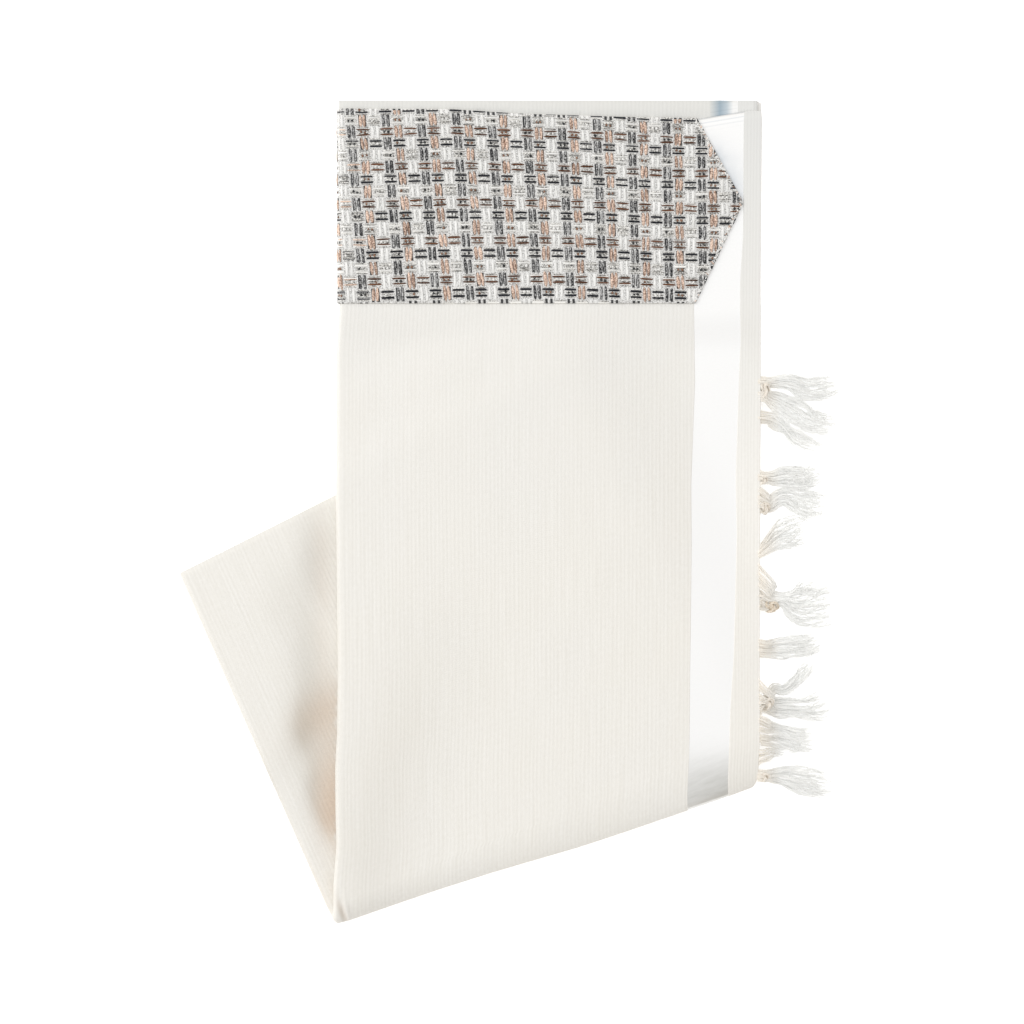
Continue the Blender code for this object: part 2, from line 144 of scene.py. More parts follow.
def readTable(table, column, key):  # the key and the result in metres, the table in mm
    rows = sorted(table)
    key = min(max(key / mm, rows[0][0]), rows[-1][0])
    for low, high in zip(rows, rows[1:]):
        if key <= high[0]:
            return mix(low[column], high[column], (key - low[0]) / (high[0] - low[0])) * mm
    return rows[-1][column] * mm


def leftOf(way):
    return Vector((-way.y, way.x))


sideWay = (fold["foldRight"] - fold["backRight"]).normalized()
endWay = (fold["backRight"] - fold["backLeft"]).normalized()
backWay = (fold["foldLeft"] - fold["backLeft"]).normalized()


def lift(x, y):  # how high the upper run is carried by what lies under it
    spot = Vector((x, y))
    pastSide = max(0.0, leftOf(sideWay).dot(spot - fold["foldRight"]) - fold["rampStart"])
    pastEnd = max(0.0, leftOf(endWay).dot(spot - fold["backLeft"]) - fold["rampStart"])
    away = math.hypot(pastSide, pastEnd)
    onLowerRun = (fold["run"] + fold["runGap"]) * (1 - smooth(away / fold["ramp"]))
    belowCollar = fold["collarEndY"] - y
    onCollar = (fold["collarWall"] + fold["gap"]) * (1 - smooth(belowCollar / fold["collarRamp"]))
    return math.hypot(onLowerRun, onCollar)


def softSpot(spot, x, y, halfWidth, halfLength, way):
    offset = spot - Vector((x, y)) * mm
    down = offset.dot(way) / (halfLength * mm)
    out = offset.dot(leftOf(way)) / (halfWidth * mm)
    return math.exp(-down * down - out * out)


def settle(spot):  # how far the lower run's upper face sinks
    sunk = 0.0
    for x, y, halfWidth, halfLength, depth in hollows:
        sunk += depth * mm * softSpot(spot, x, y, halfWidth, halfLength, backWay)
    return fold["sinkLimit"] * (1 - math.exp(-sunk / fold["sinkLimit"]))


def shadeAt(spot, table):
    total = 0.0
    for x, y, halfWidth, halfLength, degrees, amount in table:
        turn = math.radians(degrees)
        way = Vector((math.cos(turn), math.sin(turn)))
        total += amount * softSpot(spot, x, y, halfWidth, halfLength, way)
    return min(total, fold["shadeLimit"])


def place(across, along, depth):  # along: 0-1 collar, 1-2 upper run, 2-3 roll, 3-4 lower run
    share = across / fold["stripWidth"]
    edge = fold["foldLeft"].lerp(fold["foldRight"], share) - Vector((0, readTable(foldBow, 1, across)))
    radius = mix(fold["rollLeft"], fold["rollRight"], share)
    farEnd = fold["backLeft"].lerp(fold["backRight"], share)
    back = (farEnd - edge).normalized()
    half = fold["run"] + fold["runGap"] / 2
    if along <= 2:
        y = mix(fold["topY"], fold["collarEndY"], along)
        if along > 1:
            y = mix(fold["collarEndY"], edge.y + radius, along - 1)
        x = mix(readTable(longEdges, 1, y), readTable(longEdges, 2, y), share)
        return Vector((x, y, lift(x, y) + fold["run"] - depth))
    if along <= 3:
        angle = (2.5 - along) * math.pi
        reach = radius - (radius - depth) * math.cos(angle)
        spot = edge + Vector((0, 1)).lerp(back, smooth(along - 2)).normalized() * reach
        drop = fold["run"] + fold["runGap"] - lift(spot.x, spot.y)
        z = half + (half - depth) * math.sin(angle) - drop * max(0.0, math.sin(angle)) ** 2
        return Vector((spot.x, spot.y, z))
    spot = (edge + back * radius).lerp(farEnd, along - 3)
    wall = fold["wall"] + fold["gap"]
    inside = (depth - wall) / (fold["run"] - 2 * wall)
    return Vector((spot.x, spot.y, depth - settle(spot) * min(max(inside, 0.0), 1.0)))


def alongAt(y):
    return (fold["topY"] - y) / (fold["topY"] - fold["collarEndY"])


def clothLength(rows, across):  # running length of cloth at each row, for the weave's own coordinates
    spots = [place(across, along, 0) for along in rows]
    lengths = [0.0]
    for spot, following in zip(spots, spots[1:]):
        lengths.append(lengths[-1] + (following - spot).length)
    return lengths


def stripeEdges(along):
    y = place(fold["stripWidth"] * 0.9, min(along, 2), 0).y
    return readTable(stripes, 1, y), readTable(stripes, 2, y)


def wrap(outer, inner, depth, steps):  # a section: outer face, round the left edge, underside
    points = [(across, depth) for across in reversed(outer)]
    for k in range(1, steps):
        angle = math.pi * k / steps
        across = fold["edgeRound"] - (fold["edgeRound"] - depth) * math.sin(angle)
        points.append((across, fold["run"] / 2 - (fold["run"] / 2 - depth) * math.cos(angle)))
    return points + [(across, fold["run"] - depth) for across in inner]


def addMesh(name, sheet, mats, faceMats=None, shades=()):
    points, faces, uvs = sheet
    mesh = bpy.data.meshes.new(name)
    mesh.from_pydata(points, [], faces)
    flat = [value for loop in mesh.loops for value in uvs[loop.vertex_index]]
    mesh.uv_layers.new(name="cloth").data.foreach_set("uv", flat)
    for attribute, values in zip(("shade", "glow"), shades):
        mesh.attributes.new(attribute, "FLOAT", "POINT").data.foreach_set("value", values)
    for mat in mats:
        mesh.materials.append(mat)
    if faceMats:
        mesh.polygons.foreach_set("material_index", faceMats)
    piece = bpy.data.objects.new(name, mesh)
    scene.collection.objects.link(piece)
    bm = bmesh.new()
    bm.from_mesh(mesh)
    bmesh.ops.recalc_face_normals(bm, faces=bm.faces)
    bm.to_mesh(mesh)
    bm.free()
    mesh.shade_smooth()
    return piece


def rimOf(width, height):
    left = [width * row for row in range(1, height - 1)]
    right = [start + width - 1 for start in left]
    last = [width * (height - 1) + k for k in range(width)]
    return list(range(width)) + right + last[::-1] + left[::-1]


def sheetOf(depths, height, rowAt, first=0):  # a closed sheet with a rounded edge
    # rowAt gives the points and the cloth coordinates of a row at a depth
    points, uvs, faces, middle = [], [], [], []
    for depth in depths:
        for row in range(height):
            rowPoints, rowUvs = rowAt(depth, row)
            points += rowPoints
            uvs += rowUvs
    width = len(rowPoints)
    count = width * height
    uvs = uvs[count:] * 2  # both faces take the inner one's
    for row in range(height - 1):
        for k in range(width - 1):
            a = row * width + k
            faces.append((a, a + 1, a + width + 1, a + width))
            faces.append((count + a, count + a + width, count + a + width + 1, count + a + 1))
    rim = rimOf(width, height)
    for k in rim:
        row, column = divmod(k, width)
        beside = min(max(row, 1), height - 2) * width + min(max(column, 1), width - 2)
        inner = (points[beside] + points[count + beside]) / 2
        here = (points[k] + points[count + k]) / 2
        out = here - inner
        thick = (points[k] - points[count + k]).length
        middle.append(len(points))
        points.append(here + out.normalized() * thick * 0.4 if out.length > 1e-9 else here)
        uvs.append(uvs[k])
    for k in range(len(rim)):
        beside = (k + 1) % len(rim)
        faces.append((rim[k], rim[beside], middle[beside], middle[k]))
        faces.append((middle[k], middle[beside], count + rim[beside], count + rim[k]))
    return points, [tuple(v + first for v in face) for face in faces], uvs


print("helpers ready")

# nodes
def fill(sockets, values):
    for key, value in values.items():
        sockets[key].default_value = value


def addNode(tree, kind, values={}, **settings):
    made = tree.nodes.new(kind)
    for key, value in settings.items():
        setattr(made, key, value)
    fill(made.inputs, values)
    return made


def link(source, target):
    source.id_data.links.new(source, target)


def calc(operation, *terms, clamp=False):  # a Math node; each term is a number or a socket
    tree = next(term.id_data for term in terms if hasattr(term, "id_data"))
    made = addNode(tree, "ShaderNodeMath", operation=operation, use_clamp=clamp)
    for socket, term in zip(made.inputs, terms):
        if hasattr(term, "id_data"):
            link(term, socket)
        else:
            socket.default_value = term
    return made.outputs[0]


def plus(first, second):
    return calc("ADD", first, second)


def minus(first, second, clamp=False):
    return calc("SUBTRACT", first, second, clamp=clamp)


def times(first, second, clamp=False):
    return calc("MULTIPLY", first, second, clamp=clamp)


def over(first, second, clamp=False):
    return calc("DIVIDE", first, second, clamp=clamp)


def timesPlus(first, second, third, clamp=False):
    return calc("MULTIPLY_ADD", first, second, third, clamp=clamp)


def distanceTo(first, second):
    return calc("ABSOLUTE", minus(first, second))


def blend(factor, first, second):  # from one colour to another; each is a colour or a socket
    made = addNode(factor.id_data, "ShaderNodeMix", data_type="RGBA")
    link(factor, made.inputs[0])
    for socket, value in ((made.inputs[6], first), (made.inputs[7], second)):
        if isinstance(value, tuple):
            socket.default_value = (*value, 1)
        else:
            link(value, socket)
    return made.outputs[2]


def rampOf(value, *stops, interpolation="LINEAR"):  # each stop: its place and its colour
    ramp = addNode(value.id_data, "ShaderNodeValToRGB")
    ramp.color_ramp.interpolation = interpolation
    for k, (position, colour) in enumerate(stops):
        stop = ramp.color_ramp.elements[k] if k < 2 else ramp.color_ramp.elements.new(position)
        stop.position = position
        stop.color = (*colour, 1)
    link(value, ramp.inputs[0])
    return ramp.outputs[0]


def clothCoordinates(tree):  # across and along the cloth, in metres
    where = addNode(tree, "ShaderNodeUVMap", uv_map="cloth").outputs[0]
    parts = addNode(tree, "ShaderNodeSeparateXYZ")
    link(where, parts.inputs[0])
    return where, parts.outputs[0], parts.outputs[1]


def painted(tree, name):  # a soft shade kept on the mesh's own points
    return addNode(tree, "ShaderNodeAttribute", attribute_name=name).outputs["Fac"]


def grainOf(where, across, along, detail=2.0):  # cells per metre each way
    spread = addNode(where.id_data, "ShaderNodeMapping", {"Scale": (across, along, 1)})
    link(where, spread.inputs[0])
    grain = addNode(where.id_data, "ShaderNodeTexNoise", {"Scale": 1.0, "Detail": detail})
    link(spread.outputs[0], grain.inputs["Vector"])
    return grain.outputs[0]


def newMaterial(name, values):
    mat = bpy.data.materials.new(name)
    mat.use_nodes = True
    shader = mat.node_tree.nodes["Principled BSDF"]
    fill(shader.inputs, values)
    return mat, mat.node_tree, shader.inputs


def bumpInto(sockets, height, distance, strength):
    bump = addNode(height.id_data, "ShaderNodeBump", {"Distance": distance, "Strength": strength})
    link(height, bump.inputs["Height"])
    link(bump.outputs[0], sockets["Normal"])


# finishes
ribbedLook = {
    "light": (0.885, 0.872, 0.836),
    "dark": (0.80, 0.782, 0.735),
    "warm": (0.86, 0.83, 0.757),
    # painted shade that darkens the cloth towards the top of the fold
    "topShade": (0.802, 0.804, 0.795),
    # colours of the painted shade in hollows and of the painted warm light thrown back
    "hollowShade": (0.30, 0.27, 0.215),
    "glow": (0.50, 0.24, 0.05),
    "topShadeShare": 0.58,
    "topShadeLength": 260 * mm,
    "warmShare": 0.35,
    "ribPitch": 2.1 * mm,
    "ribLength": 40 * mm,  # how far a thick or thin rib runs
    "ribShade": 0.24,
    "unevenShade": 0.9,
    "slubShade": 0.9,
    "pickPitch": 1.1 * mm,  # one weft pick
    "ribHeight": 0.10 * mm,
    "wander": (160, 9),  # cells per metre across and along
    "slubs": (640, 420),
    "patches": (26, 18),
    "roughness": 0.9,
}
borderLook = {
    "light": (0.952, 0.938, 0.90),
    "dark": (0.869, 0.85, 0.807),
    # the border's painted shade towards the top of the fold is stronger
    "topShade": (0.76, 0.765, 0.752),
    "topShadeShare": 1.0,
    "topShadeLength": 235 * mm,
    "ribPitch": 1.7 * mm,
}
# painted shade: a darker, cooler copy of the cloth, for the second layer that shows at the top edge
shadedInnerLook = {
    "light": (0.77, 0.765, 0.735),
    "dark": (0.68, 0.675, 0.645),
    "topShade": (0.76, 0.765, 0.75),
}


def ribbedMaterial(name, look):
    values = {"Roughness": look["roughness"], "Sheen Weight": 0.1, "Sheen Roughness": 0.5}
    mat, tree, sockets = newMaterial(name, values)
    where, across, along = clothCoordinates(tree)
    wander = grainOf(where, *look["wander"])
    phase = timesPlus(across, 2 * math.pi / look["ribPitch"], times(wander, 5.0))
    ribs = timesPlus(calc("SINE", phase), 0.5, 0.5)
    uneven = grainOf(where, 1.7 / look["ribPitch"], 1 / look["ribLength"], 1.0)
    slubs = grainOf(where, *look["slubs"])
    shade = timesPlus(ribs, look["ribShade"], timesPlus(uneven, look["unevenShade"], -0.45))
    shade = timesPlus(slubs, look["slubShade"], plus(shade, -0.05))
    colour = rampOf(shade, (0, look["dark"]), (1, look["light"]))
    tint = timesPlus(grainOf(where, *look["patches"]), 1.6, -0.5, clamp=True)
    colour = blend(times(tint, look["warmShare"]), colour, look["warm"])
    # painted shade: the cloth is a little darker and more neutral towards the top of the fold
    high = minus(1.0, over(along, look["topShadeLength"]), clamp=True)
    colour = blend(times(high, look["topShadeShare"]), colour, look["topShade"])
    # painted shade in the hollows and painted warm light thrown back, kept on the mesh's points
    colour = blend(painted(tree, "shade"), colour, look["hollowShade"])
    colour = blend(painted(tree, "glow"), colour, look["glow"])
    link(colour, sockets["Base Color"])
    picks = calc("SINE", times(along, 2 * math.pi / look["pickPitch"]))
    height = timesPlus(picks, 0.15, timesPlus(slubs, 0.6, ribs))
    bumpInto(sockets, height, look["ribHeight"], 0.7)
    return mat


satinLook = {
    "light": (1.0, 1.0, 0.995),
    "dark": (0.955, 0.955, 0.95),
    "shade": (0.50, 0.56, 0.62),
    "rollShade": (0.36, 0.36, 0.31),
    "metallic": 0.5,
    "roughness": 0.3,
    "anisotropic": 0.5,
    "floatLength": 2.2 * mm,
    "floatWidth": 0.45 * mm,
    "pleatPitch": 2.35 * mm,  # fine creases below the top edge
    "pleatReach": 7.5 * mm,
    "pleatShare": 0.5,
    "slantShadeReach": 7 * mm,  # painted bluish shade along the collar's slanting end
    "slantShadeStarts": 14 * mm,
    "slantShadeEnds": 50 * mm,
    "left": 190 * mm,
    "behindLeft": 197.7 * mm,  # on the second layer
    "behindWidth": 15 * mm,
    "ripples": (90, 520, 3.0),
    "behind": (  # painted shade and bluish reflection on the second layer's satin, from its left edge to its right
        (0, (0.72, 0.73, 0.71)),
        (0.35, (0.36, 0.45, 0.52)),
        (0.6, (0.55, 0.62, 0.67)),
        (0.82, (0.93, 0.93, 0.92)),
    ),
}


def satinMaterial(name, behind=False):
    look = satinLook
    values = {"Roughness": look["roughness"], "Metallic": look["metallic"]}
    mat, tree, sockets = newMaterial(name, {**values, "Anisotropic": look["anisotropic"]})
    where, across, along = clothCoordinates(tree)
    floats = grainOf(where, 1 / look["floatLength"], 1 / look["floatWidth"])
    # creases that run just below the top edge, which climbs towards the border
    below = minus(along, timesPlus(minus(across, look["left"]), -0.165, 10.2 * mm))
    fade = minus(1.0, over(below, look["pleatReach"]), clamp=True)
    wave = calc("COSINE", times(below, 2 * math.pi / look["pleatPitch"]))
    pleats = times(calc("POWER", timesPlus(wave, 0.5, 0.5), 5.0), fade)
    if behind:
        # painted shade and bluish reflection across the second layer's satin, in place of its weave
        share = over(minus(across, look["behindLeft"]), look["behindWidth"])
        colour = rampOf(share, *look["behind"])
    else:
        colour = blend(floats, look["dark"], look["light"])
        # painted shade in the creases below the top edge
        colour = blend(times(pleats, look["pleatShare"]), colour, look["shade"])
        # painted bluish shade beside the collar's slanting end, fading away from it
        slant = timesPlus(minus(along, 10 * mm), 0.53, look["left"])
        away = calc("MAXIMUM", minus(across, slant), 0.0)
        slantShade = calc("EXPONENT", times(away, -1 / look["slantShadeReach"]))
        ending = minus(1.0, over(minus(along, look["slantShadeEnds"]), 9 * mm), clamp=True)
        starting = over(minus(along, look["slantShadeStarts"]), 16 * mm, clamp=True)
        mottle = timesPlus(grainOf(where, 150, 110, 3.0), 0.8, 0.25)
        colour = blend(times(times(times(slantShade, ending), starting), mottle), colour, look["shade"])
    # painted shade where the stripe rolls down to the fold, broken up by ripples
    ripples = timesPlus(grainOf(where, *look["ripples"]), 0.9, 0.55)
    colour = blend(times(painted(tree, "shade"), ripples), colour, look["rollShade"])
    link(colour, sockets["Base Color"])
    tangent = addNode(tree, "ShaderNodeTangent", direction_type="UV_MAP", uv_map="cloth")
    link(tangent.outputs[0], sockets["Tangent"])
    bumpInto(sockets, timesPlus(pleats, -3.0, floats), 0.06 * mm, 0.5)
    return mat


# each yarn's dark and light tone
tweedLook = {
    "charcoal": ((0.008, 0.009, 0.010), (0.10, 0.102, 0.105)),
    "slate": ((0.016, 0.016, 0.018), (0.66, 0.66, 0.66)),
    "copper": ((0.13, 0.065, 0.04), (0.42, 0.25, 0.17)),
    "rose": ((0.17, 0.088, 0.055), (1.0, 0.765, 0.625)),
    "ivory": ((0.80, 0.80, 0.78), (1.0, 1.0, 0.99)),
    "brown": ((0.035, 0.015, 0.009), (0.26, 0.12, 0.066)),
    "navy": ((0.005, 0.006, 0.009), (0.032, 0.034, 0.042)),
    "silver": ((0.11, 0.105, 0.095), (1.0, 0.99, 0.955)),
}
# how sharply a yarn's tone changes, and where it starts
speckles = {"silver": (3.8, -1.4), "ivory": (2.4, -0.7), "slate": (3.9, -1.58), "rose": (3.4, -1.13)}
plainSpeckle = (1.7, -0.4)
warpTones = ("charcoal", "copper", "ivory")
weftTones = ("silver", "brown", "navy")
fringeLook = {
    "thread": ((0.85, 0.855, 0.84), (0.98, 0.98, 0.965)),
    "root": (0.97, 0.91, 0.82),
    "rootShare": 0.75,
    "rootEndX": 143 * mm,
    "knot": ((0.84, 0.77, 0.67), (0.98, 0.94, 0.88)),
    "darkKnot": ((0.70, 0.59, 0.45), (0.93, 0.86, 0.76)),
    "threadGlow": 0.08,  # painted light: the threads glow faintly, standing in for light through thin white yarn
}


def yarnMaterial(name, dark, light, roughness=0.85, speckle=plainSpeckle, sheen=0.2):
    specular = min(0.5, 0.1 + 2 * sheen)
    values = {"Roughness": roughness, "Sheen Weight": sheen, "Specular IOR Level": specular}
    mat, tree, sockets = newMaterial(name, values)
    grain = grainOf(addNode(tree, "ShaderNodeTexCoord").outputs["Object"], 1250, 1250, 4.0)
    island = addNode(tree, "ShaderNodeNewGeometry").outputs["Random Per Island"]
    tone = timesPlus(grain, speckle[0], timesPlus(island, 0.5, speckle[1] - 0.25))
    link(rampOf(tone, (0, dark), (1, light)), sockets["Base Color"])
    bumpInto(sockets, grain, 0.2 * mm, 0.6)
    return mat


def fringeMaterial():  # white yarn that is warmer and darker where it is gathered at the hem
    mat = yarnMaterial("fringeThread", *fringeLook["thread"], 0.7)
    tree = mat.node_tree
    sockets = tree.nodes["Principled BSDF"].inputs
    split = addNode(tree, "ShaderNodeSeparateXYZ")
    link(addNode(tree, "ShaderNodeTexCoord").outputs["Object"], split.inputs[0])
    nearHem = over(minus(fringeLook["rootEndX"], split.outputs[0]), 12 * mm, clamp=True)
    pale = sockets["Base Color"].links[0].from_socket
    colour = blend(times(nearHem, fringeLook["rootShare"]), pale, fringeLook["root"])
    link(colour, sockets["Base Color"])
    # painted light: the thread glows a little in its own colour
    link(colour, sockets["Emission Color"])
    sockets["Emission Strength"].default_value = fringeLook["threadGlow"]
    return mat


def oneOfThree(number, tones, which):  # the dark (0) or light (1) tone of a numbered yarn
    third = calc("MODULO", plus(number, 300), 3)
    stops = [(position, tweedLook[tone][which]) for position, tone in zip((0, 0.5, 0.8), tones)]
    return rampOf(over(third, 2.2), *stops, interpolation="CONSTANT")


def tweedMaterial():  # the band's own UV counts warp pairs across and weft pairs down
    mat, tree, sockets = newMaterial("tweedGround", {"Roughness": 0.9})
    where, column, row = clothCoordinates(tree)
    columnNumber = calc("FLOOR", plus(column, 0.5))
    rowNumber = calc("FLOOR", plus(row, 0.5))
    fromColumn = distanceTo(column, columnNumber)
    fromRow = distanceTo(row, rowNumber)
    warpOnTop = calc("MODULO", plus(plus(columnNumber, rowNumber), 300), 2)
    grain = grainOf(where, 9, 9, 4.0)
    warpDark = oneOfThree(columnNumber, warpTones, 0)
    warpLight = oneOfThree(columnNumber, warpTones, 1)
    warpTone = blend(grainOf(where, 13, 2.2, 3.0), warpDark, warpLight)
    speckle = rampOf(grain, (0.33, (0.32, 0.315, 0.30)), (0.6, (0.88, 0.88, 0.87)))
    inLine = calc("LESS_THAN", distanceTo(fromRow, 0.23), 0.075)
    weftCell = blend(inLine, speckle, oneOfThree(rowNumber, weftTones, 1))
    nearMiddle = calc("LESS_THAN", fromRow, 0.1)
    onYarn = calc("LESS_THAN", distanceTo(fromColumn, 0.2), 0.1)
    weftCell = blend(times(nearMiddle, onYarn), weftCell, warpTone)
    onPair = calc("LESS_THAN", distanceTo(fromColumn, 0.22), 0.11)
    warpCell = blend(onPair, speckle, warpTone)
    link(blend(warpOnTop, weftCell, warpCell), sockets["Base Color"])
    height = timesPlus(grain, 0.8, times(times(warpOnTop, onPair), 0.7))
    bumpInto(sockets, height, 0.4 * mm, 0.8)
    return mat


materials = {
    "ribbed": ribbedMaterial("ribbedCloth", ribbedLook),
    "border": ribbedMaterial("borderCloth", {**ribbedLook, **borderLook}),
    "inner": ribbedMaterial("shadedInnerCloth", {**ribbedLook, **shadedInnerLook}),
    "satin": satinMaterial("satin"),
    "satinShade": satinMaterial("satinShade", behind=True),
    "tweed": tweedMaterial(),
    "thread": fringeMaterial(),
    "knot": yarnMaterial("knotThread", *fringeLook["knot"]),
    "darkKnot": yarnMaterial("darkKnotThread", *fringeLook["darkKnot"]),
}
for tone, shades in tweedLook.items():
    speckle = speckles.get(tone, plainSpeckle)
    sheen = 0.2 if tone in ("silver", "ivory", "rose") else 0.03
    materials[tone] = yarnMaterial(tone + "Yarn", *shades, speckle=speckle, sheen=sheen)
print("materials made:", len(materials))

# the folded cloth
clothBuild = {
    "cornerCut": 3.4 * mm,
    "cutDecay": 2.2 * mm,
    "borderReach": 0.8 * mm,  # the hem stands out this far below the collar
    "hemProud": 0.2 * mm,  # and this far above the satin
    "satinTuck": 0.16 * mm,
    "satinUnder": (1.2 * mm, 1.5 * mm),  # how far the satin runs under the field and the border
    "thickness": 0.75 * mm,
    "fineTo": 14 * mm,  # closer columns up to here, for the corner's pleat
    "fineColumns": 18,
    "fieldColumns": 70,
    "edgeSteps": 12,
    "innerColumns": 64,
    "satinColumns": 18,
    "borderColumns": 10,
    "rows": (24, 84, 28, 60),  # collar stretch, upper run, roll, lower run
    "swell": 0.11 * mm,  # soft unevenness of the lying cloth
    "swellLength": 62 * mm,
    "swellFade": 20 * mm,  # none of it at the folded left edge
    "besideSatin": (0.35 * mm, 0.05 * mm),  # the field's last columns
    "edgeColumn": 0.012,  # a stripe's narrow first and last column
    "lowerRunX": -92.5 * mm,  # the lower run shows left of this
}
cornerPleat = {
    "line": ((-92.3, -198.5), (-88.0, -219.0)),
    "halfWidth": 1.05 * mm,
    "depth": 0.8 * mm,
    "ridge": 1.0 * mm,
    "ridgeAside": 2.5 * mm,
}
rows = [part + k / count for part, count in enumerate(clothBuild["rows"]) for k in range(count)] + [4.0]
runLength = clothLength(rows, fold["stripWidth"] / 2)


def swellAt(across, length):
    return clothBuild["swell"] * noise.noise(Vector((across, length, 0)) / clothBuild["swellLength"])


def frontStart(across, row):  # under the collar band the rows follow the cut's top edge
    steps = clothBuild["rows"][0]
    if row >= steps:
        return rows[row]
    return mix(alongAt(readTable(topEdge, 1, across)), 1, row / steps)


def lengthAt(along, row):
    return (fold["topY"] - fold["collarEndY"]) * along if along < 1 else runLength[row]


def pleatAt(spot):  # the crease that pinches the folded corner, with a small roll left of it
    start, end = [Vector(end) * mm for end in cornerPleat["line"]]
    way = end - start
    offset = spot.xy - start
    share = offset.dot(way) / way.length_squared
    if not 0 < share < 1.3:
        return 0.0
    out = -offset.dot(leftOf(way).normalized())
    aside = (out, out + cornerPleat["ridgeAside"])
    groove, ridge = [math.exp(-((far / cornerPleat["halfWidth"]) ** 2)) for far in aside]
    return (groove * cornerPleat["depth"] - ridge * cornerPleat["ridge"]) * smooth(share * 1.6)


def bodyRow(depth, row):
    along = rows[row]
    satin = stripeEdges(along)[0]
    fineTo, steps = clothBuild["fineTo"], clothBuild["edgeSteps"]
    outer = spaced(fold["edgeRound"], fineTo, clothBuild["fineColumns"], last=False)
    before, last = clothBuild["besideSatin"]
    outer += spaced(fineTo, satin - before, clothBuild["fieldColumns"]) + [satin - last]
    inner = spaced(fold["edgeRound"], fold["stripWidth"] - 1 * mm, clothBuild["innerColumns"])
    section = wrap(outer, inner, depth, steps)
    distance = satin
    points, uvs = [], []
    for k, (across, deep) in enumerate(section):
        if k:
            distance -= math.dist(section[k], section[k - 1])
        if k < len(outer) + steps // 2:
            here = frontStart(across, row)
            fade = smooth(across / clothBuild["swellFade"])
            deep -= swellAt(across, runLength[row]) * fade * (1 - smooth(along - 2))
            spot = place(across, here, deep)
            if here < 2.5:
                spot -= Vector((0, 0, pleatAt(spot)))
        else:
            here = max(along, rows[1])
            spot = place(across, here, deep)
        points.append(spot)
        uvs.append((distance, lengthAt(here, row)))
    return points, uvs


def buildBodyCloth():
    sheet = sheetOf((0.0, clothBuild["thickness"]), len(rows), bodyRow)
    shades, glows = [], []
    for x, y, z in sheet[0]:
        spot = Vector((x, y))
        onLowerRun = smooth((fold["run"] + 0.4 * mm - z) / (1.2 * mm)) * smooth((z - 2.5 * mm) / mm)
        if x < clothBuild["lowerRunX"] and onLowerRun:
            shades.append(shadeAt(spot, pockets) * onLowerRun)
            glows.append(shadeAt(spot, warmGlow) * onLowerRun)
        else:
            shades.append(shadeAt(spot, frontShade) if z > 4 * mm else 0.0)
            glows.append(shadeAt(spot, warmGlow[-1:]) if z > 9 * mm else 0.0)
    return addMesh("bodyCloth", sheet, [materials["ribbed"]], shades=(shades, glows))


def onRoll(across, along, table):  # painted shade: the stripes turn darker where they roll down to the fold
    if along > 2.7:
        return 0.0
    here = -place(across, along, 0.0).y
    return readTable(table, 1, here) / mm * mix(0.85, 1.15, (across / mm - 190) / 24)


def buildStripe(name, edgesAt, finish, outer, table):
    shades = []
    narrow = clothBuild["edgeColumn"]
    between = spaced(0, 1, clothBuild[finish + "Columns"], last=False)[1:]
    shares = [0, narrow] + between + [1 - narrow, 1]

    def stripeRow(depth, row):
        along = rows[row]
        start, end = edgesAt(along)
        points, uvs = [], []
        for share in shares:
            across = mix(start, end, share)
            shades.append(onRoll(across, along, table))
            deep = depth * (1 - smooth((along - 2) * 2)) if depth < 0 else depth
            deep -= swellAt(across, runLength[row]) * (1 - smooth(along - 2))
            here = frontStart(across, row)
            points.append(place(across, here, deep))
            uvs.append((across, lengthAt(here, row)))
        return points, uvs

    sheet = sheetOf((outer, clothBuild["thickness"]), len(rows), stripeRow)
    shades += [0.0] * (len(sheet[0]) - len(shades))
    return addMesh(name, sheet, [materials[finish]], shades=[shades])


def satinSpan(along):
    satin, border = stripeEdges(along)
    underField, underBorder = clothBuild["satinUnder"]
    return satin - underField, border + underBorder


def borderSpan(along):
    # the corner at the fold is rounded off
    turn = (2.5 - min(max(along, 2.0), 3.0)) * math.pi
    above = fold["rollRight"] * (1 - math.cos(turn))
    cut = clothBuild["cornerCut"] * math.exp(-above / clothBuild["cutDecay"])
    reach = clothBuild["borderReach"] * smooth((along - 0.85) / 0.35)
    return stripeEdges(along)[1], fold["stripWidth"] + reach - cut


bodyCloth = buildBodyCloth()
satinStripe = buildStripe("satinStripe", satinSpan, "satin", clothBuild["satinTuck"], rollShade)
endBorder = buildStripe("endBorder", borderSpan, "border", -clothBuild["hemProud"], borderShade)
print("outer cloth made")

# the layers inside the fold: number, top edge y, how far the right edge and the far end are set in
layerTable = (
    (1, 218.1, 2.2, 0.6),
    (2, 217.0, 0.4, 1.4),
    (3, 217.6, 1.3, 0.2),
    (4, 216.2, 0.2, 1.8),
    (5, 217.2, 1.0, 0.9),
    (6, 216.4, 0.3, 1.6),
)
layers = {
    "pitch": fold["run"] / 8,
    "faces": (0.06 * mm, 0.8 * mm),  # a layer's outer and inner face within its pitch
    "foldedEdge": 2.4 * mm,  # inside the outer layer's fold
    "waver": 0.25 * mm,
    "lowerRun": 200 * mm,
    "satinBehind": (197.7 * mm, 212.6 * mm),  # where the second layer's satin and border start
}


